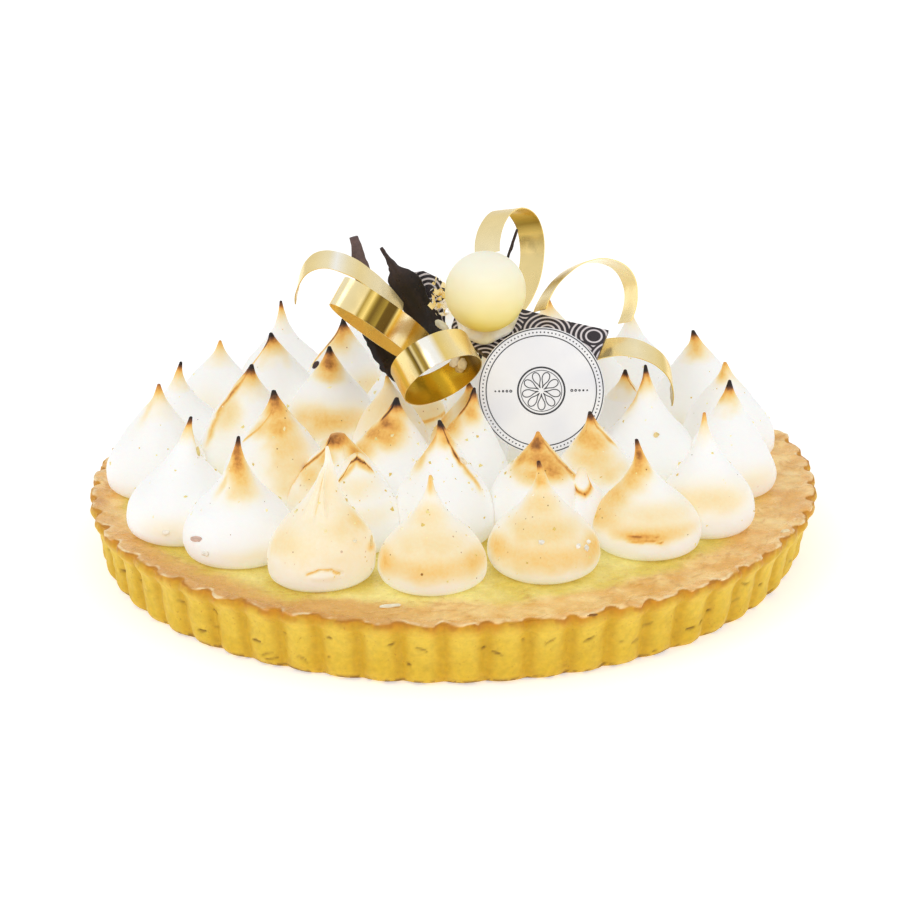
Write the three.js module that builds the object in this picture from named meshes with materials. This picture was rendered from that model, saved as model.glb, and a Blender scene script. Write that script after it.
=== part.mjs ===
// Lemon meringue pie: a fluted shortcrust shell filled with lemon curd, set with piped and
// toasted meringue kisses, and crowned with chocolate pieces, gold ribbon curls and a plaque.
// Millimetres, +Z up. The origin is the middle of the base, on the surface the pie stands on.
// Angles of the shell are counted from -Y (the front) towards +X.

import * as THREE from 'three';

// ---------------------------------------------------------------- driving dimensions

const SHELL = {
  radius: 120,            // over the rim lobes
  height: 21.7,
  flutes: 58,
  phase: -1.7,            // degrees, where the first groove lies
  wall: 5.6,              // thickness at the rim
  floor: 4,
  columnsPerFlute: 4,
  grooveShape: 0.62,      // under 1 makes full lobes and narrow grooves
  sideDraft: 2.1,         // how far the base draws in on the right, where the shell leans most
  draftAngle: 80,         // degrees, the middle of that side
  rimDrop: 0.6,           // from the full height to the middle of the rim
  rimMiddle: 0.45,        // where that middle lies, as a share of the wall from its outside
  rimSwell: 0.5,          // how far the rim's middle swells out over a lobe
  innerWobble: 0.3,       // the share of the rim's wobble that its inner edge follows
  rimLip: 0.15,           // the rim's inner edge stands this much above the curd
  curdDrop: 1.2,          // the inner wall starts this far below the curd's top
  innerDraft: 3.0,        // the filling's well narrows by this towards the floor
};

const CURD = {
  radius: 113.0,
  top: 20.7,
  clearance: 0.35,        // to the shell, all round
  columns: 72,
  edgeDrop: 0.25,
  edgeWidth: 1.3,
};

const KISS = {
  foot: 21.05,            // height of the curd's top plus the gap
  columns: 10,
  gap: 0.5,               // between two kisses that press on each other
  reach: 4,               // kisses further apart than this don't press on each other
  leanPower: 1.6,         // over 1, so a kiss stands upright at its foot and bends near its tip
  point: 0.3,             // the last bit of the tip above the top ring
};

const BALL = {
  radius: 13.2,
  centre: [11.2, 2.5, 84.5],
  gap: 0.45,              // to its seat, and from the seat to the plate
  columns: 18,
  rows: 10,
};

// The dab under the ball: thinnest under its middle, with radii and heights down its skirt.
const SEAT = {
  thinnest: 0.7,
  columns: 18,
  dishRadii: [0, 3, 5.5, 7.5],
  skirt: [[9.6, 2.2], [10.4, 1.2], [10, BALL.gap], [0, BALL.gap]],
};

const RIBBON = { width: 10, thickness: 0.5 };

const PLAQUE = {
  radius: 20.6,
  thickness: 2.2,
  centre: [28.9, -9.0, 54.1],
  leanBack: 21.2,         // degrees from upright
  sides: 48,
};

const PRINTED_PLATE = { thickness: 2.0, tilt: 32, frontY: -3.0, frontZ: 63.3 };

const COLOURS = {
  crust: 0xdcaa48,
  curd: 0xdcc268,
  meringue: 0xf6f1e8,
  toasted: 0xe3bb84,
  darkChocolate: 0x241713,
  printedChocolate: 0x2a2427,
  whiteChocolate: 0xf1e6b8,
  gold: 0xdcbc62,
  plaque: 0xeeeeee,
};

// ---------------------------------------------------------------- small helpers

const radians = (degrees) => THREE.MathUtils.degToRad(degrees);

const vector = (x, y, z) => new THREE.Vector3(x, y, z);

/** Reads y at x on the polyline through the pairs [x, y], which are sorted by x. */
function interpolate(pairs, x) {
  const first = pairs[0];
  const last = pairs.at(-1);
  if (x <= first[0]) {
    return first[1];
  }
  if (x >= last[0]) {
    return last[1];
  }
  const index = pairs.findIndex((pair) => pair[0] > x);
  const [x0, y0] = pairs[index - 1];
  const [x1, y1] = pairs[index];
  return y0 + ((y1 - y0) * (x - x0)) / (x1 - x0);
}

/** A smooth profile through the pairs [x, y], sampled finely enough to read by interpolation. */
function smoothProfile(pairs) {
  const curve = new THREE.SplineCurve(pairs.map(([x, y]) => new THREE.Vector2(x, y)));
  return curve.getPoints(96).map((point) => [point.x, point.y]);
}

/** Six times the volume inside a triangle mesh, positive when its faces point out. */
function signedVolume(points, triangles) {
  let sum = 0;
  for (const [a, b, c] of triangles) {
    sum += points[a].dot(points[b].clone().cross(points[c]));
  }
  return sum;
}

/** Builds a geometry from points and triangles, and turns the faces out. */
function solid(points, triangles) {
  const outward = signedVolume(points, triangles) > 0;
  const order = outward ? [0, 1, 2] : [0, 2, 1];
  const geometry = new THREE.BufferGeometry();
  const positions = points.flatMap((point) => [point.x, point.y, point.z]);
  geometry.setAttribute('position', new THREE.Float32BufferAttribute(positions, 3));
  geometry.setIndex(triangles.flatMap((triangle) => order.map((corner) => triangle[corner])));
  geometry.computeVertexNormals();
  return geometry;
}

/** Joins closed rings of equal length into a skin, with a fan to a centre point at each end. */
function loft(rings, bottomCentre, topCentre) {
  const points = rings.flat();
  const columns = rings[0].length;
  const triangles = [];
  for (let row = 0; row + 1 < rings.length; row += 1) {
    for (let column = 0; column < columns; column += 1) {
      const next = (column + 1) % columns;
      const a = row * columns + column;
      const b = row * columns + next;
      triangles.push([a, b, a + columns], [b, b + columns, a + columns]);
    }
  }
  const bottom = points.push(bottomCentre) - 1;
  const top = points.push(topCentre) - 1;
  const lastRow = (rings.length - 1) * columns;
  for (let column = 0; column < columns; column += 1) {
    const next = (column + 1) % columns;
    triangles.push([bottom, next, column], [top, lastRow + column, lastRow + next]);
  }
  return solid(points, triangles);
}

/** Joins sections into a ring that bites its own tail, such as a closed band. */
function closedBand(sections) {
  const points = sections.flat();
  const count = sections.length;
  const corners = sections[0].length;
  const triangles = [];
  for (let row = 0; row < count; row += 1) {
    for (let corner = 0; corner < corners; corner += 1) {
      const next = (corner + 1) % corners;
      const a = row * corners + corner;
      const b = row * corners + next;
      const c = ((row + 1) % count) * corners + next;
      const d = ((row + 1) % count) * corners + corner;
      triangles.push([a, b, c], [a, c, d]);
    }
  }
  return solid(points, triangles);
}

/** The four corners of a flat strip's section. */
function stripSection({ point, across, through }) {
  const corner = (side, face) =>
    point.clone().addScaledVector(across, side).addScaledVector(through, face);
  return [corner(-1, -1), corner(1, -1), corner(1, 1), corner(-1, 1)];
}

/** A strip with two ends, from a list of stations. */
function strip(stations) {
  return loft(stations.map(stripSection), stations[0].point, stations.at(-1).point);
}

function material(colour, roughness, metalness = 0) {
  return new THREE.MeshStandardMaterial({ color: colour, roughness, metalness });
}

const pie = new THREE.Group();

function addMesh(name, geometry, meshMaterial) {
  const mesh = new THREE.Mesh(geometry, meshMaterial);
  mesh.name = name;
  pie.add(mesh);
  return mesh;
}

// ---------------------------------------------------------------- fluted shell

// Outer wall: height as a share of the shell's, radius at the lobes as a share of the full
// radius, depth of the grooves in millimetres, and the share of the rim's wobble it follows.
const WALL_ROWS = [
  { height: 0, radius: 0.954, groove: 1.9, ragged: 0 },
  { height: 0.07, radius: 0.965, groove: 2.9, ragged: 0 },
  { height: 0.76, radius: 0.989, groove: 2.4, ragged: 0 },
  { height: 0.87, radius: 1.0, groove: 1.7, ragged: 0.5 },
  { height: 0.97, radius: 0.996, groove: 1.5, ragged: 0.5 },
];

/** Height of the ragged rim at an angle, as a wobble of a few tenths of a millimetre. */
function rimWobble(angle) {
  const slow = 0.25 * Math.sin(3 * angle + 1.1) + 0.2 * Math.sin(7 * angle + 0.4);
  const quick = 0.18 * Math.sin(31 * angle) + 0.14 * Math.sin(47 * angle + 2.0);
  return slow + quick;
}

/** Where a point of the wall lies between two grooves: 0 in a groove, 1 on a lobe. */
function fluteLift(angle) {
  const turns = (SHELL.flutes * (angle - radians(SHELL.phase))) / (2 * Math.PI);
  return Math.pow(Math.abs(Math.sin(Math.PI * turns)), SHELL.grooveShape);
}

/** How far the wall draws in at an angle and a share of the height: most on the right, low down. */
function draft(angle, share) {
  const side = Math.max(0, Math.cos(angle - radians(SHELL.draftAngle)));
  return SHELL.sideDraft * side ** 3 * (1 - share);
}

function crustGeometry() {
  const columns = SHELL.flutes * SHELL.columnsPerFlute;
  const angles = Array.from({ length: columns }, (_, index) =>
    radians(SHELL.phase) + (2 * Math.PI * index) / columns);
  const ringOf = (radiusAt, heightAt) => angles.map((angle) =>
    vector(radiusAt(angle) * Math.sin(angle), -radiusAt(angle) * Math.cos(angle), heightAt(angle)));

  const rings = WALL_ROWS.map(({ height, radius, groove, ragged }) => ringOf(
    (angle) => SHELL.radius * radius - groove * (1 - fluteLift(angle)) - draft(angle, height),
    (angle) => SHELL.height * height + ragged * rimWobble(angle),
  ));
  const rimMiddle = SHELL.radius - SHELL.rimMiddle * SHELL.wall;
  const well = CURD.radius + CURD.clearance;
  rings.push(ringOf(
    (angle) => rimMiddle + SHELL.rimSwell * fluteLift(angle),
    (angle) => SHELL.height - SHELL.rimDrop + rimWobble(angle),
  ));
  rings.push(ringOf(
    () => SHELL.radius - SHELL.wall,
    (angle) => CURD.top + SHELL.rimLip + SHELL.innerWobble * rimWobble(angle),
  ));
  rings.push(ringOf(() => well, () => CURD.top - SHELL.curdDrop));
  rings.push(ringOf(() => well - SHELL.innerDraft, () => SHELL.floor));
  return loft(rings, vector(0, 0, 0), vector(0, 0, SHELL.floor));
}

function curdGeometry() {
  const ringOf = (radius, height) => Array.from({ length: CURD.columns }, (_, index) => {
    const angle = (2 * Math.PI * index) / CURD.columns;
    return vector(radius * Math.sin(angle), -radius * Math.cos(angle), height);
  });
  const bottom = SHELL.floor + CURD.clearance;
  const edge = CURD.radius - CURD.edgeDrop;
  return loft([
    ringOf(edge - SHELL.innerDraft, bottom),
    ringOf(edge, CURD.top - SHELL.curdDrop),
    ringOf(edge, CURD.top - CURD.edgeDrop),
    ringOf(edge - CURD.edgeWidth, CURD.top),
  ], vector(0, 0, bottom), vector(0, 0, CURD.top));
}

// ---------------------------------------------------------------- meringue kisses

// Pairs of the share of a kiss's height and its radius there as a share of the full radius.
const PROFILES = {
  slender: smoothProfile([
    [0, 0.9], [0.06, 0.97], [0.15, 1.0], [0.28, 0.94], [0.4, 0.79], [0.5, 0.59],
    [0.6, 0.4], [0.7, 0.25], [0.8, 0.14], [0.9, 0.07], [1, 0.03],
  ]),
  peaked: smoothProfile([
    [0, 0.9], [0.06, 0.97], [0.15, 1.0], [0.33, 0.89], [0.5, 0.69],
    [0.66, 0.46], [0.78, 0.27], [0.88, 0.13], [0.95, 0.07], [1, 0.035],
  ]),
  broad: smoothProfile([
    [0, 0.9], [0.06, 0.97], [0.15, 1.0], [0.33, 0.94], [0.5, 0.8], [0.6, 0.66],
    [0.7, 0.48], [0.8, 0.3], [0.88, 0.17], [0.95, 0.08], [1, 0.035],
  ]),
  domed: smoothProfile([
    [0, 0.9], [0.06, 0.97], [0.15, 1.0], [0.33, 0.9], [0.5, 0.72], [0.65, 0.52],
    [0.8, 0.34], [0.9, 0.24], [0.96, 0.16], [1, 0.07],
  ]),
  stub: smoothProfile([
    [0, 0.9], [0.08, 0.98], [0.2, 1.0], [0.35, 0.99], [0.48, 0.9], [0.6, 0.72],
    [0.75, 0.47], [0.88, 0.27], [0.95, 0.19], [1, 0.14],
  ]),
};

const KISS_LEVELS = [0, 0.08, 0.2, 0.4, 0.58, 0.73, 0.87, 1];

// Every kiss: [x, y] of its foot, height, radius, how far its tip leans along x and y, profile.
// The outer row runs clockwise seen from above, from the left of the pie round its back.
const OUTER_KISSES = [
  [-93, 27, 32, 16.0, 1, 0, 'slender'],
  [-98, -5, 35, 16.4, 2.7, 1, 'peaked'],
  [-86.4, -42.5, 38, 17.0, 4.2, 0, 'slender'],
  [-66.5, -61, 38, 17.0, 0.4, 0, 'slender'],
  [-40.8, -80, 41.5, 16.2, 4.3, 1, 'slender'],
  [-6.8, -83, 33, 16.8, 0, 0, 'slender'],
  [27.6, -74.6, 34, 17.4, -1, 0, 'slender'],
  [60.4, -58, 34, 17.2, -3.4, 1, 'slender'],
  [80.5, -43.5, 37.5, 14.8, -2.1, 0, 'slender'],
  [89.8, -12, 36, 15.0, 0.2, 3, 'peaked'],
  [93, 21, 32, 16.2, -1.5, 0, 'peaked'],
  [85, 50, 33, 16.4, -1, 0, 'peaked'],
  [64, 75, 34, 16.2, -1, 0, 'slender'],
  [37, 90, 33, 16.2, -3, 0, 'peaked'],
  [4, 97, 34, 16.4, 0, 0, 'peaked'],
  [-30, 92, 33, 16.4, 1, 0, 'peaked'],
  [-60, 77, 37, 16.4, 0, 0, 'slender'],
  [-82, 54, 30, 15.6, 2, 0, 'peaked'],
];

const INNER_KISSES = [
  [-68, 8, 37, 16.6, 1, 1, 'broad'],
  [-60, 40, 37.5, 16.4, -1, 0, 'broad'],
  [-57, -27, 40.5, 17.6, 1, 0, 'broad'],
  [-41, 24, 37, 16.4, 0, 2, 'broad'],
  [-38, 55, 37, 15.6, 1, 0, 'broad'],
  [-21.5, -25, 37, 16.6, 4, 0, 'broad'],
  [-30.5, -51, 28.5, 16.2, 0.5, 0, 'domed'],
  [-3, -49, 38, 16.8, 0, 0, 'peaked'],
  [4, -20, 38, 14.2, 3, 0, 'peaked'],
  [27, -46, 33, 16.2, 0, 0, 'broad'],
  [46, -29, 33, 16.4, -2, 0, 'peaked'],
  [64, -7, 41, 17.6, -1, 0, 'slender'],
  [58, 21, 29, 15.4, 0, 0, 'peaked'],
  [50, 47, 34, 16.4, 0, 0, 'peaked'],
  [24, 65, 35, 16.4, 0, 0, 'peaked'],
  [-5, 67, 36, 16.4, 0, 0, 'peaked'],
  [-17, 38, 34, 15.6, 0, 0, 'peaked'],
  [-21, 13, 31, 14.6, 0, 0, 'peaked'],
  [6, 14, 28, 15.0, 0, 0, 'peaked'],
  [33, 2, 41.5, 15.6, 0, 0, 'peaked'],
  [31, 28, 36, 15.0, 0, 0, 'peaked'],
  [12, 40, 35, 15.6, 0, 0, 'peaked'],
  [-40, -8, 17, 15.4, 0, 0, 'domed'],
];

// Two that are no full kisses: a low one with a cut tip, and a small curled dab.
const LOW_KISSES = [
  [-37, -37, 29.5, 17.4, 1.5, 0, 'stub'],
  [44, -52, 21.5, 8.6, -4.5, 2, 'stub'],
];

/** Names the kisses of one row, kiss_row_01 and on, and gives each its profile. */
function kissesOf(row, sizes, look) {
  return sizes.map(([x, y, height, radius, leanX, leanY, shape], index) => {
    const name = `kiss_${row}_${String(index + 1).padStart(2, '0')}`;
    return { name, x, y, height, radius, leanX, leanY, look, profile: PROFILES[shape] };
  });
}

/** Centre and radius of a kiss at a share of its height, the share being of this kiss. */
function kissDisc(kiss, share) {
  const lean = Math.pow(Math.max(share, 0), KISS.leanPower);
  return {
    x: kiss.x + kiss.leanX * lean,
    y: kiss.y + kiss.leanY * lean,
    radius: kiss.radius * interpolate(kiss.profile, share),
  };
}

/** The neighbour's disc at a height above the curd, or null above the neighbour's tip. */
function neighbourDisc(neighbour, height) {
  const share = height / neighbour.height;
  return share > 1 ? null : kissDisc(neighbour, share);
}

/** Pulls a point back to the plane where two pressed kisses share the room between them. */
function pressBack(point, own, other) {
  const away = new THREE.Vector2(other.x - own.x, other.y - own.y);
  const distance = away.length();
  away.divideScalar(distance);
  const share = (distance ** 2 + own.radius ** 2 - other.radius ** 2) / (2 * distance);
  const limit = share - KISS.gap / 2;
  const reach = (point.x - own.x) * away.x + (point.y - own.y) * away.y;
  if (reach > limit) {
    point.x -= away.x * (reach - limit);
    point.y -= away.y * (reach - limit);
  }
}

function kissGeometry(kiss, kisses) {
  const near = kisses.filter((other) => other !== kiss
    && Math.hypot(other.x - kiss.x, other.y - kiss.y) < other.radius + kiss.radius + KISS.reach);
  const rings = KISS_LEVELS.map((share, row) => {
    const own = kissDisc(kiss, share);
    const height = share * kiss.height;
    const turn = row * (Math.PI / KISS.columns);
    return Array.from({ length: KISS.columns }, (_, column) => {
      const angle = turn + (2 * Math.PI * column) / KISS.columns;
      const point = vector(
        own.x + own.radius * Math.cos(angle),
        own.y + own.radius * Math.sin(angle),
        KISS.foot + height,
      );
      for (const neighbour of near) {
        const other = neighbourDisc(neighbour, height);
        if (other) {
          pressBack(point, own, other);
        }
      }
      return point;
    });
  });
  const tip = kissDisc(kiss, 1);
  return loft(
    rings,
    vector(kiss.x, kiss.y, KISS.foot),
    vector(tip.x, tip.y, KISS.foot + kiss.height + KISS.point),
  );
}

// ---------------------------------------------------------------- gold ribbon curls

// A curl is a strip wound on an elliptic helix: `axis` is the direction the strip's width
// lies along, `start` the direction of the first half-axis, `halfAxes` the ellipse, `from` and
// `to` the angles in degrees, `pitch` the advance along the axis for each radian, and `growth`
// the share the ellipse widens by for each radian.
const RIBBON_CURLS = [
  {
    name: 'ribbon_arch_left', centre: [-32.4, 14.2, 59.9], axis: [0.093, 0.947, 0.306],
    start: [0.921, -0.199, 0.336], halfAxes: [14.8, 33.0], from: 237, to: 350,
    pitch: 1.7, growth: 0.203, segments: 14,
  },
  {
    name: 'ribbon_loop_left', centre: [-23, -4, 77], axis: [0.48, 0.48, 0.73],
    start: [-0.66, -0.34, 0.66], halfAxes: [19, 8.2], closed: true, segments: 24,
  },
  {
    name: 'ribbon_loop_front', centre: [-5.0, -9.0, 62.6], axis: [-0.45, 0.57, 0.69],
    start: [-0.19, -0.82, 0.55], halfAxes: [17.8, 13.7], closed: true, segments: 24,
  },
  {
    name: 'ribbon_loop_top', centre: [11.1, 28.7, 85.5], axis: [0.8, -0.54, 0.24],
    start: [0.49, 0.84, 0.24], halfAxes: [28.1, 21.4], from: -443, to: -228,
    pitch: 3.3, growth: -0.1, segments: 16,
  },
  {
    name: 'ribbon_arch_right', centre: [44.5, 17.1, 72.6], axis: [-0.358, 0.849, -0.388],
    start: [0.673, 0.523, 0.524], halfAxes: [20, 13.9], from: 233, to: 425,
    pitch: 0.56, growth: 0, segments: 16,
  },
  {
    name: 'ribbon_curl_right', centre: [54.3, 9.9, 49.4], axis: [0.013, 0.958, 0.286],
    start: [0.077, 0.285, -0.956], halfAxes: [14.8, 16], from: 160, to: 290,
    pitch: -0.58, growth: 0.086, segments: 12,
  },
];

function curlStation(curl, turn) {
  const axis = vector(...curl.axis).normalize();
  const first = vector(...curl.start);
  first.addScaledVector(axis, -first.dot(axis)).normalize();
  const second = axis.clone().cross(first);
  const begin = radians(curl.from ?? 0);
  const spread = 1 + (curl.growth ?? 0) * (turn - begin);
  const [a, b] = curl.halfAxes;
  const point = vector(...curl.centre)
    .addScaledVector(first, a * spread * Math.cos(turn))
    .addScaledVector(second, b * spread * Math.sin(turn))
    .addScaledVector(axis, (curl.pitch ?? 0) * (turn - begin));
  const through = first.clone().multiplyScalar(b * Math.cos(turn))
    .addScaledVector(second, a * Math.sin(turn)).normalize();
  return {
    point,
    across: axis.multiplyScalar(RIBBON.width / 2),
    through: through.multiplyScalar(RIBBON.thickness / 2),
  };
}

function curlGeometry(curl) {
  const begin = radians(curl.from ?? 0);
  const end = radians(curl.to ?? 360);
  const count = curl.closed ? curl.segments : curl.segments + 1;
  const stations = Array.from({ length: count }, (_, index) =>
    curlStation(curl, begin + ((end - begin) * index) / curl.segments));
  return curl.closed ? closedBand(stations.map(stripSection)) : strip(stations);
}

// ---------------------------------------------------------------- chocolate pieces

// A blade is a thin chocolate feather: a bowed midline from `foot` by `belly` to `tip`, and the
// half-width along it as pairs of share and millimetres.
const BLADES = [
  {
    name: 'chocolate_feather', foot: [-14, 6, 50], belly: [-24, 13, 68], tip: [-31.3, 16, 99.5],
    facing: [0.35, -0.9, 0.2], thickness: 1.4,
    halfWidths: [[0, 0.8], [0.15, 3.2], [0.35, 5.2], [0.6, 5.0], [0.8, 3.0], [0.93, 1.9], [1, 1.5]],
  },
  {
    name: 'chocolate_leaf', foot: [-1.7, 20.5, 57.2], belly: [-12.3, 21.5, 75.4],
    tip: [-22.9, 22.5, 93.6], facing: [0.05, -1, 0.05], thickness: 1.8,
    halfWidths: [
      [0, 3.4], [0.18, 4.6], [0.3, 5.1], [0.5, 5.0], [0.69, 5.1], [0.81, 2.0], [0.9, 0.9], [1, 0.5],
    ],
  },
  {
    name: 'chocolate_stick', foot: [9, 22, 54], belly: [15.5, 24.2, 77], tip: [22, 26.5, 98.2],
    facing: [0, -1, 0.2], thickness: 0.9,
    halfWidths: [[0, 0.7], [1, 0.5]],
  },
];

const BLADE_SEGMENTS = 10;

function bladeGeometry(blade) {
  const foot = vector(...blade.foot);
  const belly = vector(...blade.belly);
  const tip = vector(...blade.tip);
  const midline = new THREE.QuadraticBezierCurve3(
    foot, belly.clone().multiplyScalar(2).sub(foot.clone().add(tip).multiplyScalar(0.5)), tip);
  const halfWidths = smoothProfile(blade.halfWidths);
  const stations = Array.from({ length: BLADE_SEGMENTS + 1 }, (_, index) => {
    const share = index / BLADE_SEGMENTS;
    const along = midline.getTangent(share);
    const across = along.clone().cross(vector(...blade.facing)).normalize();
    const through = across.clone().cross(along).normalize();
    return {
      point: midline.getPoint(share),
      across: across.multiplyScalar(interpolate(halfWidths, share)),
      through: through.multiplyScalar(blade.thickness / 2),
    };
  });
  return strip(stations);
}

/** A flat slab: an outline in the plate's own u and v, pressed `thickness` deep. */
function slabGeometry(outline, thickness, origin, uAxis, vAxis) {
  const shape = new THREE.Shape(outline.map(([u, v]) => new THREE.Vector2(u, v)));
  const geometry = new THREE.ExtrudeGeometry(shape, { depth: thickness, bevelEnabled: false });
  geometry.translate(0, 0, -thickness);
  const normal = uAxis.clone().cross(vAxis);
  const frame = new THREE.Matrix4().makeBasis(uAxis, vAxis, normal);
  frame.setPosition(origin);
  geometry.applyMatrix4(frame);
  return geometry;
}

// The plate's outline: u runs along +X from the pie's middle, v up the slope from its front.
const PLATE_OUTLINE = [
  [13, 0], [47.4, 0], [51.6, 11.5], [37, 16], [23.5, 21], [14, 26], [3, 25], [0, 14], [6, 6],
];

function printedPlateGeometry() {
  const tilt = radians(PRINTED_PLATE.tilt);
  const slope = vector(0, Math.cos(tilt), Math.sin(tilt));
  const origin = vector(0, PRINTED_PLATE.frontY, PRINTED_PLATE.frontZ);
  return slabGeometry(PLATE_OUTLINE, PRINTED_PLATE.thickness, origin, vector(1, 0, 0), slope);
}

// A second printed piece stands behind the leaf, leaning back a little.
const BACK_PLATE = {
  outline: [[-2, 0], [11.5, 0], [12, 14.8], [9.8, 17.6], [4.5, 20.2], [0, 19.5]],
  thickness: 1.6,
  origin: [-13.7, 27.0, 62.9],
  leanBack: 12,
};

function backPlateGeometry() {
  const lean = radians(BACK_PLATE.leanBack);
  const up = vector(0, Math.sin(lean), Math.cos(lean));
  return slabGeometry(
    BACK_PLATE.outline, BACK_PLATE.thickness, vector(...BACK_PLATE.origin), vector(1, 0, 0), up);
}

/** The dab of white chocolate that holds the ball on the printed plate. */
function ballSeatGeometry() {
  const hollow = (reach) => BALL.radius - Math.sqrt(BALL.radius ** 2 - reach ** 2);
  const dish = SEAT.dishRadii.map((reach) =>
    new THREE.Vector2(reach, BALL.gap + SEAT.thinnest + hollow(reach)));
  const skirt = SEAT.skirt.map(([reach, height]) => new THREE.Vector2(reach, height));
  const profile = [...dish, ...skirt].reverse();
  profile[0].x = 0;
  profile.at(-1).x = 0;
  const tilt = radians(PRINTED_PLATE.tilt);
  const normal = vector(0, -Math.sin(tilt), Math.cos(tilt));
  const lathe = new THREE.LatheGeometry(profile, SEAT.columns);
  lathe.deleteAttribute('uv');
  const lift = BALL.radius + 2 * BALL.gap + SEAT.thinnest;
  const place = vector(...BALL.centre).addScaledVector(normal, -lift);
  lathe.applyQuaternion(new THREE.Quaternion().setFromUnitVectors(vector(0, 1, 0), normal));
  lathe.translate(place.x, place.y, place.z);
  return lathe;
}

function ballGeometry() {
  const geometry = new THREE.SphereGeometry(BALL.radius, BALL.columns, BALL.rows);
  geometry.rotateX(Math.PI / 2);
  geometry.translate(...BALL.centre);
  return geometry;
}

function plaqueGeometry() {
  const { radius, thickness, sides } = PLAQUE;
  const geometry = new THREE.CylinderGeometry(radius, radius, thickness, sides);
  geometry.rotateX(-radians(PLAQUE.leanBack));
  geometry.translate(...PLAQUE.centre);
  return geometry;
}

// ---------------------------------------------------------------- the whole pie

const meringue = material(COLOURS.meringue, 0.75);
const toastedMeringue = material(COLOURS.toasted, 0.75);
const gold = material(COLOURS.gold, 0.25, 1);
const darkChocolate = material(COLOURS.darkChocolate, 0.4);

addMesh('crust', crustGeometry(), material(COLOURS.crust, 0.8));
addMesh('lemon_curd', curdGeometry(), material(COLOURS.curd, 0.35));

const kisses = [
  ...kissesOf('outer', OUTER_KISSES, meringue),
  ...kissesOf('inner', INNER_KISSES, meringue),
  ...kissesOf('low', LOW_KISSES, toastedMeringue),
];
for (const kiss of kisses) {
  addMesh(kiss.name, kissGeometry(kiss, kisses), kiss.look);
}

for (const curl of RIBBON_CURLS) {
  addMesh(curl.name, curlGeometry(curl), gold);
}
for (const blade of BLADES) {
  addMesh(blade.name, bladeGeometry(blade), darkChocolate);
}
addMesh('printed_plate', printedPlateGeometry(), material(COLOURS.printedChocolate, 0.45));
addMesh('printed_plate_back', backPlateGeometry(), material(COLOURS.printedChocolate, 0.45));
addMesh('ball_seat', ballSeatGeometry(), material(COLOURS.whiteChocolate, 0.5));
addMesh('white_ball', ballGeometry(), material(COLOURS.whiteChocolate, 0.4));
addMesh('plaque', plaqueGeometry(), material(COLOURS.plaque, 0.45));

export default pie;
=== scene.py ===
"""Lemon meringue pie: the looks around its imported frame.

A fluted shortcrust shell holds lemon curd under a skin of glaze. Forty-three piped meringue kisses
stand on the curd, browned by a torch, and a crown of chocolate, gold ribbon curls, a white
chocolate ball and a plaque stands on them. Shapes are worked out in millimetres and laid into
the mesh in metres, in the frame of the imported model: +Z up, origin in the middle of the base.
Directions round the shell and round a kiss are counted from -Y, the front, towards +X.
"""

import logging
import math
from dataclasses import dataclass, field
from enum import Enum

import bpy
import numpy as np
from mathutils import Matrix


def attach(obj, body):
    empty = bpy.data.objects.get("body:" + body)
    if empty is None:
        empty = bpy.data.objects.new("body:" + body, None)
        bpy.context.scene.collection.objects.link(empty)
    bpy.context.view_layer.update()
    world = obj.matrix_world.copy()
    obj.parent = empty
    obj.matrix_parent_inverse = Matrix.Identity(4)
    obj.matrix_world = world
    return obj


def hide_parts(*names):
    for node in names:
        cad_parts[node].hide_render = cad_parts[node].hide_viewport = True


LOG = logging.getLogger("pie")
MM = 0.001
BODY = "root"
PRINT_SCALE = 100.0

Array = np.ndarray
Material, Piece, Socket = bpy.types.Material, bpy.types.Object, bpy.types.NodeSocket
Triple = tuple[float, float, float]
Pair = tuple[float, float]
Pairs = tuple[Pair, ...]
Shades = tuple[Triple, Triple]
Stops = tuple[tuple[float, Triple], ...]

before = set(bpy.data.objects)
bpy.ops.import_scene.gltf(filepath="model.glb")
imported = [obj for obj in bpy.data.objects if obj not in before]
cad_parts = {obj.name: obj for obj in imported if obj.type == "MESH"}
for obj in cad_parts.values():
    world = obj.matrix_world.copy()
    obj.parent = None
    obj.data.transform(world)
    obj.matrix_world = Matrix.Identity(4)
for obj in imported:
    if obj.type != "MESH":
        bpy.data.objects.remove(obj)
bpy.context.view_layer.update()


# ---- numbers and noise


def linear(colour: Triple) -> Array:
    """Turns a display colour of 0 to 255 into linear light of 0 to 1, by the sRGB curve."""
    share = np.asarray(colour, float) / 255.0
    return np.where(share <= 0.04045, share / 12.92, ((share + 0.055) / 1.055) ** 2.4)


def smoothstep(low: float, high: float, value: Array) -> Array:
    """Rises from 0 at low to 1 at high as 3t^2 - 2t^3."""
    t = np.clip((value - low) / (high - low), 0.0, 1.0)
    return t * t * (3.0 - 2.0 * t)


def curve_through(pairs: Pairs, x: Array) -> Array:
    """Reads a smooth curve through pairs at x: cubic pieces whose slopes are central differences.

    Args:
        pairs: the points [x, y] that the curve passes, sorted by x.
        x: where to read it.

    Returns:
        y at each x.
    """
    knots, heights = np.array(pairs, float).T
    slopes = np.gradient(heights, knots)
    x = np.clip(x, knots[0], knots[-1])
    index = np.clip(np.searchsorted(knots, x, side="right") - 1, 0, len(knots) - 2)
    step = knots[index + 1] - knots[index]
    t = (x - knots[index]) / step
    rise = heights[index] * (2 * t**3 - 3 * t**2 + 1) + heights[index + 1] * (3 * t**2 - 2 * t**3)
    return rise + step * (slopes[index] * (t**3 - 2 * t**2 + t) + slopes[index + 1] * (t**3 - t**2))


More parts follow.
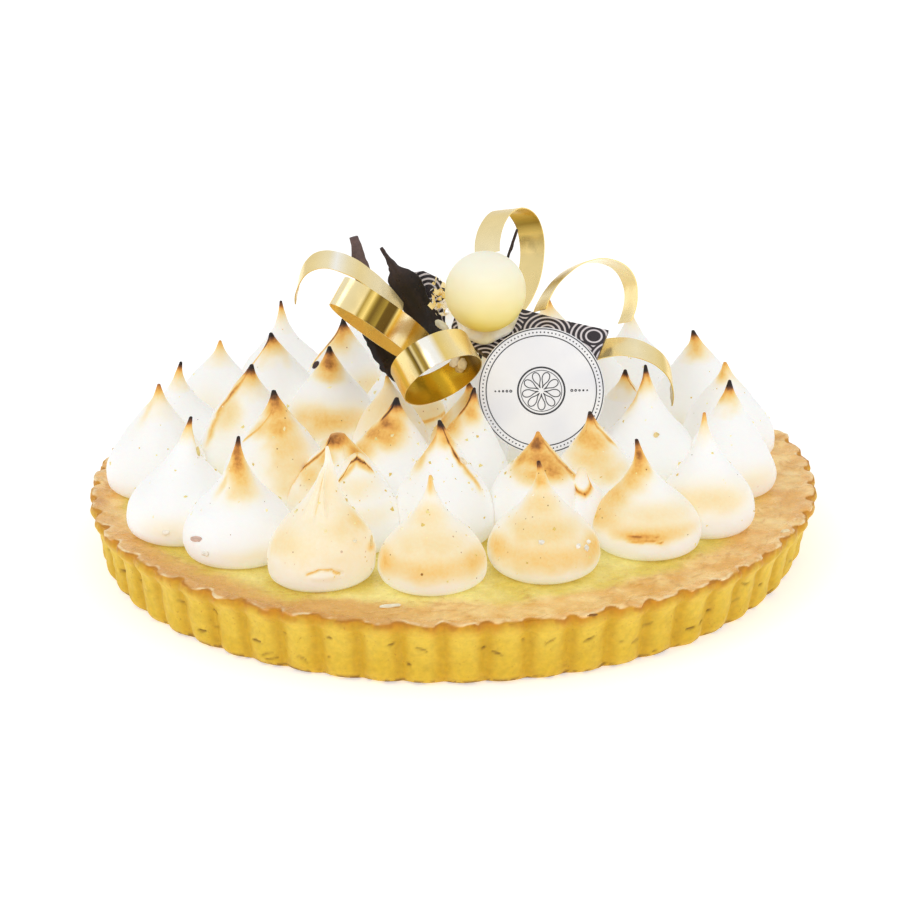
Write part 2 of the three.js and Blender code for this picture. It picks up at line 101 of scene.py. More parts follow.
def lattice_values(cell: Array, seed: int) -> Array:
    """A fixed random value from -1 to 1 for each whole-numbered cell, by mixing its bits.

    Args:
        cell: whole numbers, the last axis being x, y, z.
        seed: which of the random fields to read.

    Returns:
        One value for each cell.
    """
    bits = (cell[..., 0] * 374761393 + cell[..., 1] * 668265263 + cell[..., 2] * 1442695041
            + seed * 1274126177) & 0xFFFFFFFF
    bits = ((bits ^ (bits >> 13)) * 1274126177) & 0xFFFFFFFF
    bits = bits ^ (bits >> 16)
    return bits / 2147483647.5 - 1.0


def noise(points: Array, size: float, seed: int, octaves: int = 2) -> Array:
    """Smooth random relief: lattice values blended across cells of a size, then of half of it.

    Args:
        points: places in millimetres, the last axis being x, y, z.
        size: the width of the widest bumps in millimetres.
        seed: which of the random fields to read.
        octaves: how many finer layers are summed, each half as strong.

    Returns:
        One value from about -1 to 1 for each point.
    """
    total = np.zeros(points.shape[:-1])
    for octave in range(octaves):
        place = points * (2**octave / size) + 17.3 * octave
        cell = np.floor(place).astype(np.int64)
        t = place - cell
        t = t * t * (3.0 - 2.0 * t)
        layer = 0.0
        for corner in np.ndindex(2, 2, 2):
            weight = np.prod(np.where(np.array(corner) == 1, t, 1.0 - t), axis=-1)
            layer = layer + weight * lattice_values(cell + np.array(corner), seed + octave)
        total += layer / 2**octave
    return total


def unit(vector: Array) -> Array:
    """Scales vectors on the last axis to length 1."""
    return vector / np.linalg.norm(vector, axis=-1, keepdims=True)


def turns(count: int) -> Array:
    """Even steps of a full turn, in radians, as one row."""
    return 2 * np.pi * np.arange(count)[None] / count


def around(reach: float | Array, angle: Array, height: Array, x: float | Array = 0.0,
           y: float | Array = 0.0) -> Array:
    """Points at a reach from x and y: x + reach sin(angle), y - reach cos(angle), height."""
    return np.stack([x + reach * np.sin(angle), y - reach * np.cos(angle), height], axis=-1)


def globe(rows: int, columns: int) -> Array:
    """Directions in rings of even latitudes, without the two poles.

    Args:
        rows: the number of rings.
        columns: the directions in each.

    Returns:
        Unit vectors, by row, column and axis.
    """
    polar, turn = np.linspace(-0.5 * np.pi, 0.5 * np.pi, rows + 2)[1:-1, None], turns(columns)
    level = np.cos(polar)
    return np.stack([level * np.cos(turn), level * np.sin(turn), np.sin(polar) + 0 * turn], axis=-1)


def name_seed(name: str) -> int:
    """A fixed number from the letters of a name."""
    return sum(map(ord, name))


# ---- meshes


def shown(name: str, data: bpy.types.ID) -> Piece:
    """A new object that stands in the scene.

    Args:
        name: its name.
        data: its mesh, camera or lamp.

    Returns:
        The object.
    """
    thing = bpy.data.objects.new(name, data)
    bpy.context.scene.collection.objects.link(thing)
    return thing


@dataclass
class Surface:
    """A skin of points in millimetres, its faces, and what its points carry.

    The faces are arrays of point numbers, one array for each number of corners.
    """

    points: Array
    faces: list[Array]
    values: dict[str, Array] = field(default_factory=dict)
    flat: Array | None = None

    def triangles(self) -> Array:
        """Cuts every face into triangles from its first corner."""
        fans = [f[:, [0, i, i + 1]] for f in self.faces for i in range(1, f.shape[1] - 1)]
        return np.concatenate(fans)

    def turned_out(self) -> "Surface":
        """Turns every face round when the volume inside, summed over triangles, is negative.

        Returns:
            The surface itself.
        """
        corner = self.points[self.triangles()]
        volume = np.einsum("ij,ij->i", corner[:, 0], np.cross(corner[:, 1], corner[:, 2])).sum()
        if volume < 0:
            self.faces = [f[:, ::-1] for f in self.faces]
        return self

    def build(self, name: str, material: Material, slot: str, node: str = "",
              smooth_angle: float = 180.0) -> Piece:
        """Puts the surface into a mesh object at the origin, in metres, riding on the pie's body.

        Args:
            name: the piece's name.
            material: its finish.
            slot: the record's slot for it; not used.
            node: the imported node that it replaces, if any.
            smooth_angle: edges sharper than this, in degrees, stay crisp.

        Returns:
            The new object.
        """
        mesh = bpy.data.meshes.new(name)
        loops = np.concatenate([f.ravel() for f in self.faces]).astype(np.int32)
        sizes = np.concatenate([np.full(len(f), f.shape[1]) for f in self.faces]).astype(np.int32)
        starts = np.concatenate([[0], np.cumsum(sizes)[:-1]]).astype(np.int32)
        mesh.vertices.add(len(self.points))
        mesh.vertices.foreach_set("co", (self.points * MM).astype(np.float32).ravel())
        mesh.loops.add(len(loops))
        mesh.loops.foreach_set("vertex_index", loops)
        mesh.polygons.add(len(sizes))
        mesh.polygons.foreach_set("loop_start", starts)
        mesh.polygons.foreach_set("use_smooth", np.ones(len(sizes), bool))
        for key, value in self.values.items():
            self._carry(mesh, key, value)
        if self.flat is not None:
            layer = mesh.uv_layers.new(name="print")
            layer.uv.foreach_set("vector", self.flat[loops].astype(np.float32).ravel())
        mesh.update(calc_edges=True)
        mesh.validate()
        if smooth_angle < 180.0:
            mesh.set_sharp_from_angle(angle=math.radians(smooth_angle))
        mesh.materials.append(material)
        piece = shown(name, mesh)
        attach(piece, BODY)
        if node:
            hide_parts(node)
        LOG.info("%s: %d triangles", name, len(self.triangles()))
        return piece

    @staticmethod
    def _carry(mesh: bpy.types.Mesh, key: str, value: Array) -> None:
        """Stores a number or a colour for each point as a named attribute.

        Args:
            mesh: the mesh to store it in.
            key: the attribute's name.
            value: one number or one colour for each point.
        """
        if value.ndim == 1:
            layer = mesh.attributes.new(key, "FLOAT", "POINT")
            layer.data.foreach_set("value", value.astype(np.float32))
            return
        layer = mesh.attributes.new(key, "FLOAT_COLOR", "POINT")
        colour = np.concatenate([value, np.ones((len(value), 1))], axis=1)
        layer.data.foreach_set("color", colour.astype(np.float32).ravel())


def ring_quads(rows: int, columns: int, closed: bool = False) -> Array:
    """Faces between rings of points that close on themselves.

    Args:
        rows: the number of rings.
        columns: the points in each.
        closed: whether the last ring joins the first.

    Returns:
        Four point numbers for each face.
    """
    row, column = np.meshgrid(np.arange(rows if closed else rows - 1), np.arange(columns), indexing="ij")
    here, above, beside = row * columns, (row + 1) % rows * columns, (column + 1) % columns
    quads = [here + column, here + beside, above + beside, above + column]
    return np.stack([q.ravel() for q in quads], axis=1)


def fan(first: int, columns: int, centre: int, upper: bool) -> Array:
    """Faces from a ring of points to one centre point, which closes a pole.

    Args:
        first: the ring's first point number.
        columns: the points in the ring.
        centre: the centre's point number.
        upper: whether the centre closes the last ring.

    Returns:
        Three point numbers for each face.
    """
    column = np.arange(columns)
    beside = (column + 1) % columns
    pair = (first + column, first + beside) if upper else (first + beside, first + column)
    return np.stack([*pair, np.full(columns, centre)], axis=1)


def capped(rings: Array, bottom: Array, top: Array, values: dict[str, Array]) -> Surface:
    """A skin over rings of points, closed by a fan to a centre point at each end.

    Args:
        rings: rows of points, by row, column and axis.
        bottom: the centre point under the first row.
        top: the centre point over the last row.
        values: numbers or colours for each ring point, which the centres take from beside them.

    Returns:
        The closed surface, its faces out.
    """
    rows, columns = rings.shape[:2]
    count = rows * columns
    points = np.concatenate([rings.reshape(-1, 3), [bottom, top]])
    faces = [ring_quads(rows, columns), np.concatenate([
        fan(0, columns, count, False), fan(count - columns, columns, count + 1, True)])]
    carried = {key: np.concatenate([value.reshape(count, *value.shape[2:]), value[0, :1], value[-1, :1]])
               for key, value in values.items()}
    return Surface(points, faces, carried).turned_out()


def joined(parts: list[Surface]) -> Surface:
    """Several surfaces as one, each with its faces out already.

    Args:
        parts: the surfaces, which carry the same values.

    Returns:
        One surface.
    """
    offsets = np.cumsum([0] + [len(part.points) for part in parts[:-1]])
    sizes = sorted({f.shape[1] for part in parts for f in part.faces})
    faces = [np.concatenate([f + offset for part, offset in zip(parts, offsets)
                             for f in part.faces if f.shape[1] == size]) for size in sizes]
    keys = parts[0].values
    values = {key: np.concatenate([part.values[key] for part in parts]) for key in keys}
    return Surface(np.concatenate([part.points for part in parts]), faces, values)


def blended(stops: Stops, share: Array) -> Array:
    """Linear colours read at a share between the display colours of the stops."""
    knots, colours = zip(*stops)
    return np.stack([np.interp(share, knots, channel) for channel in linear(colours).T], axis=-1)


def mixed(low: Array, high: Array, share: Array) -> Array:
    """Blends two colours or colour fields by a share for each point."""
    return low + (high - low) * share[..., None]


def between(colours: Shades, share: Array) -> Array:
    """Blends a pair of display colours by a share for each point, held to 0 and 1."""
    return mixed(linear(colours[0]), linear(colours[1]), np.clip(share, 0, 1))


def washed(base: Array, colour: Triple, share: Array) -> Array:
    """Blends a colour field towards one display colour by a share for each point."""
    return mixed(base, linear(colour), share)


# ---- finishes


class Shader:
    """A short way to lay and link the nodes of one material."""

    def __init__(self, name: str) -> None:
        """Starts a material that holds a Principled shader and its output.

        Args:
            name: the material's name.
        """
        self.material = bpy.data.materials.new(name)
        self.material.use_nodes = True
        self.tree = self.material.node_tree
        self.surface = self.tree.nodes["Principled BSDF"]

    def node(self, kind: str, inputs: dict[str | int, object], **settings: object) -> bpy.types.Node:
        """Adds a node, sets its properties, and links or sets its inputs.

        Args:
            kind: the node's type, without the ShaderNode in front.
            inputs: sockets to link, or values to set, by name or number.
            **settings: properties of the node.

        Returns:
            The node.
        """
        made = self.tree.nodes.new("ShaderNode" + kind)
        for key, value in settings.items():
            setattr(made, key, value)
        for key, value in inputs.items():
            if isinstance(value, Socket):
                self.tree.links.new(value, made.inputs[key])
            else:
                made.inputs[key].default_value = value
        return made

    def place(self) -> Socket:
        """Object coordinates, in metres."""
        return self.node("TexCoord", {}).outputs["Object"]

    def attribute(self, name: str, output: str = "Color") -> Socket:
        """A colour, or with output Fac a number, that the mesh carries."""
        return self.node("Attribute", {}, attribute_name=name).outputs[output]

    def math(self, operation: str, a: object, b: object = 0.0, clamp: bool = False) -> Socket:
        """One arithmetic step on two numbers."""
        return self.node("Math", {0: a, 1: b}, operation=operation, use_clamp=clamp).outputs[0]

    def noise(self, size: float, detail: float = 3.0, roughness: float = 0.55) -> Socket:
        """Noise from 0 to 1 whose widest bumps are size millimetres, with finer layers by detail."""
        return self.node("TexNoise", {
            "Vector": self.place(), "Scale": 1.0 / (size * MM), "Detail": detail,
            "Roughness": roughness}).outputs["Fac"]

    def rise(self, value: object, low: float, high: float) -> Socket:
        """0 below low and 1 above high, or the other way round when low is the larger."""
        return self.node("MapRange", {0: value, 1: low, 2: high, 3: 0.0, 4: 1.0}, clamp=True).outputs[0]

    def span(self, value: object, low: float, high: float, start: float = 0.3,
             stop: float = 0.7) -> Socket:
        """Spreads a value between start and stop over low to high, by default the middle of noise."""
        return self.node("MapRange", {0: value, 1: start, 2: stop, 3: low, 4: high}, clamp=True).outputs[0]

    def mix(self, factor: object, a: object, b: object, blend: str = "MIX") -> Socket:
        """Blends two colours by a factor, each a socket or a display colour."""
        a, b = ((*linear(end), 1.0) if isinstance(end, tuple) else end for end in (a, b))
        return self.node("Mix", {0: factor, 6: a, 7: b}, data_type="RGBA", blend_type=blend).outputs[2]

    def ramp(self, value: Socket, stops: Stops) -> Socket:
        """A colour read from display colours that stand at shares of 0 to 1.

        Args:
            value: what is looked up.
            stops: shares with their display colours.

        Returns:
            The colour.
        """
        made = self.node("ValToRGB", {0: value})
        band = made.color_ramp
        while len(band.elements) < len(stops):
            band.elements.new(0.5)
        for element, (share, colour) in zip(band.elements, stops):
            element.position = share
            element.color = (*linear(colour), 1.0)
        return made.outputs[0]

    def specks(self, size: float, share: float, spread: float) -> Socket:
        """Round grains in a random share of cells, each up to spread of its cell wide.

        Args:
            size: the cells' width in millimetres.
            share: how many cells hold a grain.
            spread: the largest grain's radius, in cells.

        Returns:
            1 inside a grain and 0 outside.
        """
        cells = self.node("TexVoronoi", {"Vector": self.place(), "Scale": 1.0 / (size * MM)})
        chosen = self.node("SeparateColor", {0: cells.outputs["Color"]}).outputs[0]
        radius = self.math("MULTIPLY", self.rise(chosen, 1.0 - share, 1.0), spread)
        return self.rise(self.math("SUBTRACT", radius, cells.outputs["Distance"]), 0.0, 0.06)

    def bumps(self, layers: Pairs) -> None:
        """Fine relief on the surface: pairs of bump width and depth, both in millimetres.

        Args:
            layers: the pairs, widest first.
        """
        normal = None
        for width, depth in layers:
            inputs: dict[str | int, object] = {"Height": self.noise(width), "Distance": depth * MM}
            if normal is not None:
                inputs["Normal"] = normal
            normal = self.node("Bump", inputs).outputs[0]
        self.tree.links.new(normal, self.surface.inputs["Normal"])

    def link(self, **sockets: Socket) -> None:
        """Links sockets to the Principled shader's inputs, _ in a name standing for a space."""
        for key, socket in sockets.items():
            self.tree.links.new(socket, self.surface.inputs[key.replace("_", " ")])

    def settle(self, **values: float) -> None:
        """Sets constants on the Principled shader's own sockets, _ in a name standing for a space."""
        for key, value in values.items():
            self.surface.inputs[key.replace("_", " ")].default_value = value


@dataclass(frozen=True)
class TintedFinish:
    """A finish whose broad colour the mesh carries as "tint" and whose fine grain is in nodes.

    Sizes are in millimetres. Mottle darkens or lightens broad spots.
    """

    name: str
    roughness: float
    gloss_spread: float = 0.1
    metallic: float = 0.0
    specular: float = 0.5
    coat: float = 0.0
    coat_roughness: float = 0.15
    subsurface: float = 0.0
    mottle_size: float = 4.0
    mottle: float = 0.12
    relief: Pairs = ((1.2, 0.12),)

    def material(self) -> Material:
        """Lays the nodes: tint times mottle, a wandering roughness, and the relief's bumps.

        Returns:
            The material.
        """
        shader = Shader(self.name)
        mottle = shader.span(shader.noise(self.mottle_size), 1.0 - self.mottle, 1.0 + self.mottle)
        colour = shader.mix(1.0, shader.attribute("tint"), mottle, "MULTIPLY")
        low, high = self.roughness - self.gloss_spread, self.roughness + self.gloss_spread
        # The colour also glows faintly, Emission_Strength 0.1 below: painted light that lifts the shade.
        shader.link(Base_Color=colour, Emission_Color=colour,
                    Roughness=shader.span(shader.noise(3.0), low, high))
        shader.settle(Metallic=self.metallic, Specular_IOR_Level=self.specular, Coat_Weight=self.coat,
                      Coat_Roughness=self.coat_roughness, Subsurface_Weight=self.subsurface,
                      Subsurface_Scale=0.004, Emission_Strength=0.1)
        shader.bumps(self.relief)
        return shader.material


@dataclass(frozen=True)
class MeringueFinish:
    """Whipped egg white with sugar grain, darker where the mesh's "toast" is high: torch browning, and
    painted shade in the crevices between kisses.
    """

    name: str = "torched_meringue"
    shades: Stops = (
        (0.0, (240, 240, 238)), (0.12, (241, 235, 219)), (0.24, (240, 224, 186)), (0.36, (237, 211, 154)),
        (0.48, (236, 198, 122)), (0.58, (230, 178, 90)), (0.67, (212, 150, 70)), (0.75, (172, 112, 48)),
        (0.84, (106, 64, 28)), (0.92, (52, 30, 16)), (1.0, (24, 15, 12)))

    def material(self) -> Material:
        """Lays the nodes: toast plus a little noise read on a ramp, flecks, and sugar grain.

        Returns:
            The material.
        """
        shader = Shader(self.name)
        toast = shader.attribute("toast", "Fac")
        wander = shader.math("MULTIPLY", shader.math("SUBTRACT", shader.noise(1.1, 4.0), 0.5), 0.22)
        wander = shader.math("MULTIPLY", wander, shader.rise(toast, 0.05, 0.5))
        heat = shader.math("ADD", toast, wander, clamp=True)
        colour = shader.ramp(heat, self.shades)
        fleck = shader.math("MULTIPLY", shader.specks(2.4, 0.42, 0.2), shader.rise(toast, 0.08, 0.4))
        colour = shader.mix(fleck, colour, (150, 98, 34))
        pore = shader.math("MULTIPLY", shader.specks(4.4, 0.12, 0.09), 0.8)
        colour = shader.mix(pore, colour, (150, 118, 70))
        shader.link(Base_Color=colour, Roughness=shader.math("SUBTRACT", 0.62, shader.math(
            "MULTIPLY", shader.rise(toast, 0.2, 0.9), 0.2)))
        # The meringue glows faintly in its own colour, Emission_Strength 0.18 below: painted light that
        # lifts the shade on the kisses.
        shader.link(Emission_Color=colour)
        shader.settle(Specular_IOR_Level=0.35, Subsurface_Weight=0.12, Subsurface_Scale=0.004,
                      Emission_Strength=0.18)
        shader.bumps(((5.0, 0.25), (0.7, 0.035)))
        return shader.material


@dataclass(frozen=True)
class PrintedFinish:
    """Dark chocolate under a transfer print of overlapping rings, laid on the "print" UV map.

    Each disc covers the ones before it and carries rings at even steps from its middle.
    """

    name: str
    discs: Pairs
    reach: float = 8.6
    step: float = 1.65
    line: float = 0.62
    ground: Triple = (52, 46, 52)
    ink: Triple = (236, 228, 232)

    def material(self) -> Material:
        """Lays the nodes: for each disc the distance from its middle, its mask and its rings.

        Returns:
            The material.
        """
        shader = Shader(self.name)
        place = shader.node("SeparateXYZ", {0: shader.node("UVMap", {}, uv_map="print").outputs[0]})
        u, v = (shader.math("MULTIPLY", place.outputs[i], PRINT_SCALE) for i in (0, 1))
        shown: object = 0.0
        for across, up in self.discs:
            du, dv = shader.math("SUBTRACT", u, across), shader.math("SUBTRACT", v, up)
            square = shader.math("ADD", shader.math("MULTIPLY", du, du), shader.math("MULTIPLY", dv, dv))
            far = shader.math("SQRT", square)
            inside = shader.rise(far, self.reach + 0.06, self.reach - 0.06)
            phase = shader.math("PINGPONG", shader.math("ADD", far, 0.5 * self.step - 0.1), 0.5 * self.step)
            ring = shader.rise(phase, 0.5 * self.line + 0.07, 0.5 * self.line - 0.07)
            ring = shader.math("MULTIPLY", ring, shader.rise(far, 2.0, 2.4))
            shown = shader.node("Mix", {0: inside, 2: shown, 3: ring}, data_type="FLOAT").outputs[0]
        colour = shader.mix(shown, self.ground, self.ink)
        side = shader.attribute("side", "Fac")
        colour = shader.mix(side, colour, (66, 38, 22))
        shader.link(Base_Color=colour, Roughness=shader.rise(shader.noise(2.0), 0.05, 1.6))
        shader.settle(Specular_IOR_Level=0.4)
        shader.bumps(((1.5, 0.05),))
        return shader.material


# ---- shell and filling


@dataclass(frozen=True)
class TopGlaze:
    """The skin that runs from the curd over the rim: one colour and one relief for both pieces.

    Near the kisses it is greenish yellow curd. Outwards it turns to a tan, wrinkled skin, and on
    the rim to a peach glaze.
    """

    seed: int = 81
    curd_end: Pair = (99.0, 108.0)
    rim_start: Pair = (112.0, 117.0)
    curd: Shades = ((228, 203, 92), (248, 234, 150))
    skin: Shades = ((230, 175, 90), (249, 214, 142))
    skin_front: Triple = (216, 160, 74)
    rim: Shades = ((233, 178, 98), (249, 212, 145))
    rim_left: Triple = (212, 154, 76)
    crease: Triple = (196, 138, 50)

    def ridge(self, level: Array) -> Array:
        """1 along the crests of the wrinkles, where noise crosses zero."""
        return 1 - np.abs(noise(level, 8.0, self.seed + 3, 3))

    def relief(self, points: Array, reach: Array) -> Array:
        """Height of the wrinkles in millimetres, over slow swells.

        Args:
            points: places in millimetres.
            reach: their distances from the pie's middle.

        Returns:
            Heights, above and below 0.
        """
        level = points * [1.0, 1.0, 0.0]
        crests = 0.3 * (self.ridge(level) ** 4 - 0.4) * smoothstep(90, 98, reach)
        return crests + 0.14 * noise(level, 14.0, self.seed)

    def tint(self, points: Array, reach: Array) -> Array:
        """Colour from the curd out to the rim in wandering patches, deeper at the front and the left.

        Args:
            points: places in millimetres.
            reach: their distances from the pie's middle.

        Returns:
            A linear colour for each point.
        """
        level = points * [1.0, 1.0, 0.0]
        wide, fine = noise(level, 17.0, self.seed + 6), noise(level, 4.5, self.seed + 9, 3)
        far = np.maximum(reach, 1.0)
        east, south = level[..., 0] / far, -level[..., 1] / far
        front = smoothstep(0.2, 0.7, south) * smoothstep(0.1, -0.3, east)
        deep = np.maximum(front, smoothstep(0.1, -0.8, east) * np.clip(0.5 + 0.6 * wide, 0, 1))
        curd = between(self.curd, 0.5 + 0.9 * wide + 0.3 * fine)
        skin = washed(between(self.skin, 0.5 + 0.6 * fine + 0.4 * wide), self.skin_front, 0.8 * front)
        rim = between(self.rim, 0.5 + 0.7 * fine)
        rim = washed(rim, self.rim_left, deep * np.clip(0.9 + 0.5 * fine, 0, 1))
        wander = reach + 4.0 * wide + 1.6 * fine + 4.5 * east
        colour = mixed(curd, skin, smoothstep(*self.curd_end, wander))
        colour = mixed(colour, rim, smoothstep(*self.rim_start, reach + 1.2 * fine))
        crease = smoothstep(0.9, 1.0, self.ridge(level)) * smoothstep(92, 100, reach)
        return washed(colour, self.crease, 0.45 * crease)


@dataclass(frozen=True)
class PastryFinish:
    """Baked dough and glaze: the mesh's "tint", with its "gloss" taken off the roughness.

    Grit is fine irregular spots where noise is high, in millimetres like the relief's bumps.
    """

    name: str
    grit_size: float = 0.8
    grit: float = 0.55
    grit_colour: Triple = (172, 112, 22)
    relief: Pairs = ((2.2, 0.16), (0.6, 0.06))

    def material(self) -> Material:
        """Lays the nodes: tint times mottle, grit where there is no gloss, roughness and bumps.

        Returns:
            The material.
        """
        shader = Shader(self.name)
        gloss = shader.attribute("gloss", "Fac")
        mottle = shader.span(shader.noise(1.8, 4.0), 0.9, 1.08)
        colour = shader.mix(1.0, shader.attribute("tint"), mottle, "MULTIPLY")
        spot = shader.rise(shader.noise(self.grit_size, 2.0, 0.4), 0.655, 0.72)
        spot = shader.math("MULTIPLY", spot, shader.rise(shader.noise(9.0), 0.42, 0.62))
        spot = shader.math("MULTIPLY", spot, shader.span(gloss, self.grit, 0.25 * self.grit, 0.0, 1.0))
        colour = shader.mix(spot, colour, self.grit_colour)
        rough = shader.math("SUBTRACT", shader.span(shader.noise(2.5), 0.5, 0.66),
                            shader.math("MULTIPLY", gloss, 0.3))
        # The dough and curd glow faintly in their own colour, Emission_Strength 0.1 below: painted light
        # that lifts the shade.
        shader.link(Base_Color=colour, Emission_Color=colour, Roughness=rough)
        shader.settle(Specular_IOR_Level=0.4, Subsurface_Weight=0.06, Subsurface_Scale=0.003,
                      Emission_Strength=0.1)
        shader.bumps(self.relief)
        return shader.material


@dataclass
class FlutedCrust:
    """The shortcrust shell: a fluted wall, a ragged glazed rim and a floor.

    A wall point stands at x = r sin a, y = -r cos a. Its radius is a share of the shell's, less
    the groove's depth where the lift (sin^2(flutes a / 2))^(shape / 2) is under 1.
    """

    glaze: TopGlaze
    radius: float = 120.0
    height: float = 21.7
    flutes: int = 58
    phase: float = math.radians(-1.7)
    groove_shape: float = 0.62
    groove_round: float = 0.035
    side_draft: float = 2.1
    draft_angle: float = math.radians(80)
    columns: int = 58 * 26
    rim_rows: int = 14
    rim_inner: float = 113.0
    rim_level: float = 20.35
    well: Pair = (112.0, 110.4)
    well_level: float = 18.5
    floor: float = 4.0
    radii: Pairs = (
        (0, 0.954), (0.07, 0.965), (0.4, 0.977), (0.76, 0.989), (0.87, 1.0), (0.97, 0.996))
    grooves: Pairs = (
        (0, 1.9), (0.07, 2.9), (0.4, 2.8), (0.76, 2.6), (0.87, 2.2), (0.97, 2.1))
    bare_groove: float = 1.2
    bare_lobe: float = 0.2
    crack_count: int = 190
    seed: int = 11
    lobe: Shades = ((212, 173, 34), (223, 188, 62))
    # Painted shade: this colour darkens the grooves between the lobes.
    groove: Triple = (203, 160, 25)
    # Painted shade: the orange under the overhanging lip.
    arch: Triple = (203, 136, 14)
    # Darker brown patches just past the glaze's edge.
    dark_lip_spots: Triple = (178, 112, 26)
    dark: Triple = (112, 68, 6)
    split: Triple = (112, 68, 8)
    # Painted highlight: the pale glints on the glaze's drips.
    painted_glint: Triple = (252, 232, 184)

    def lift(self, angle: Array) -> Array:
        """0 in a groove and 1 on a lobe, with the groove's bottom a little rounded.

        Args:
            angle: directions round the shell.

        Returns:
            The lift at each.
        """
        wave = np.sin(0.5 * self.flutes * (angle - self.phase)) ** 2
        round_off = self.groove_round
        return ((wave + round_off) / (1 + round_off)) ** (0.5 * self.groove_shape)

    def wobble(self, angle: Array) -> Array:
        """The ragged rim's height: four sines of a few tenths of a millimetre."""
        slow = 0.25 * np.sin(3 * angle + 1.1) + 0.2 * np.sin(7 * angle + 0.4)
        return slow + 0.18 * np.sin(31 * angle) + 0.14 * np.sin(47 * angle + 2.0)

    def draft(self, angle: Array, share: Array) -> Array:
        """How far the wall draws in at its foot, most on the right."""
        return self.side_draft * np.maximum(0.0, np.cos(angle - self.draft_angle)) ** 3 * (1 - share)

    def wall(self) -> tuple[Array, Array, Array]:
        """Radius, height and share of the height of the wall's rings, closest near the rim.

        Returns:
            The three, by ring and column.
        """
        angle = self.angles()
        share = np.concatenate([np.linspace(0, 0.72, 26), np.linspace(0.735, 0.97, 20)])[:, None]
        radius = self.radius * curve_through(self.radii, share) - (
            curve_through(self.grooves, share) * (1 - self.lift(angle)))
        radius = radius - self.draft(angle, share)
        radius = radius - 0.7 * (1 - smoothstep(0.0, 0.035, share))
        height = self.height * share + 0.5 * smoothstep(0.76, 0.9, share) * self.wobble(angle)
        return radius, height, share * np.ones_like(angle)

    def angles(self) -> Array:
        """The columns' directions, as one row."""
        return self.phase + turns(self.columns)

    def rings(self) -> tuple[Array, Array, Array, Array]:
        """Radius, height, angle and share of every ring point, from the foot over the rim to the well.

        Returns:
            The four, by ring and column.
        """
        angle = self.angles()
        radius, height, share = self.wall()
        q = np.linspace(0.0, 1.0, self.rim_rows + 1)[1:, None]
        crown = self.height - 0.45 + self.wobble(angle) * (1 - 0.6 * q)
        rim_radius = radius[-1:] + (self.rim_inner - radius[-1:]) * q**1.15
        rim_height = height[-1:] + (crown - height[-1:]) * np.sin(np.pi * np.minimum(q / 0.36, 1.0) / 2)
        rim_height = rim_height - (crown - self.rim_level) * smoothstep(0.4, 1.0, q)
        ones = np.ones_like(angle)
        radius = np.concatenate([radius, rim_radius, *(reach * ones for reach in self.well)])
        height = np.concatenate([height, rim_height, self.well_level * ones, self.floor * ones])
        share = np.concatenate([share, np.ones((self.rim_rows + 2, 1)) * ones])
        return radius, height, angle * np.ones_like(radius), share

    def relief(self, points: Array, share: Array) -> Array:
        """How far the baked dough stands out: slow swells, crumb, and bites out of the lip.

        Args:
            points: places in millimetres.
            share: shares of the height.

        Returns:
            Millimetres outwards.
        """
        swell = 0.26 * noise(points, 9.0, self.seed) + 0.13 * noise(points, 2.4, self.seed + 5, 3)
        lip = smoothstep(0.8, 0.92, share)
        bite = smoothstep(0.3, 0.75, noise(points * [1, 1, 0.4], 5.0, self.seed + 9))
        bump = smoothstep(0.35, 0.8, noise(points * [1, 1, 0.5], 3.4, self.seed + 15))
        return 1.25 * swell * (1 - 0.5 * lip) + (0.3 * bump - 0.95 * bite) * lip

    def cracks(self, angle: Array, height: Array) -> Array:
        """Depth, 0 to 1, of short bent splits in the wall: distance to small slanted strokes.

        Args:
            angle: directions round the shell.
            height: heights over the base.

        Returns:
            The depth at each point.
        """
        chance = np.random.default_rng(self.seed)
        deepest = np.zeros_like(height)
        for _ in range(self.crack_count):
            middle, level = chance.uniform(-np.pi, np.pi), chance.uniform(1.5, 15.0)
            half, slope, bend = (chance.uniform(*ends) for ends in ((0.5, 2.2), (-0.5, 0.5), (-0.25, 0.25)))
            along = ((angle - middle + np.pi) % (2 * np.pi) - np.pi) * self.radius
            away = np.abs(height - level - slope * along - bend * along**2)
            thick = 0.48 * (1 - 0.6 * np.abs(along) / (half + 0.5)).clip(0.3, 1)
            stroke = np.exp(-((away / thick) ** 2)) * smoothstep(half + 0.5, half - 0.4, np.abs(along))
            deepest = np.maximum(deepest, stroke * chance.uniform(0.15, 1.0) ** 1.5)
        return deepest

    def uncovered(self, points: Array, fall: Array, angle: Array) -> Array:
        """How far a place lies past the glaze's ragged edge, which draws back from every groove.

        Args:
            points: the shell's points.
            fall: how far each lies below the lip, or less than 0 for how far inside it.
            angle: their directions round the shell.

        Returns:
            Millimetres past the edge, less than 0 under the glaze.
        """
        ragged = noise(points * [1, 1, 0], 5.5, self.seed + 40, 3)
        bare = self.bare_lobe + (self.bare_groove - self.bare_lobe) * smoothstep(0.76, 0.5, self.lift(angle))
        return fall + bare + 0.85 * ragged

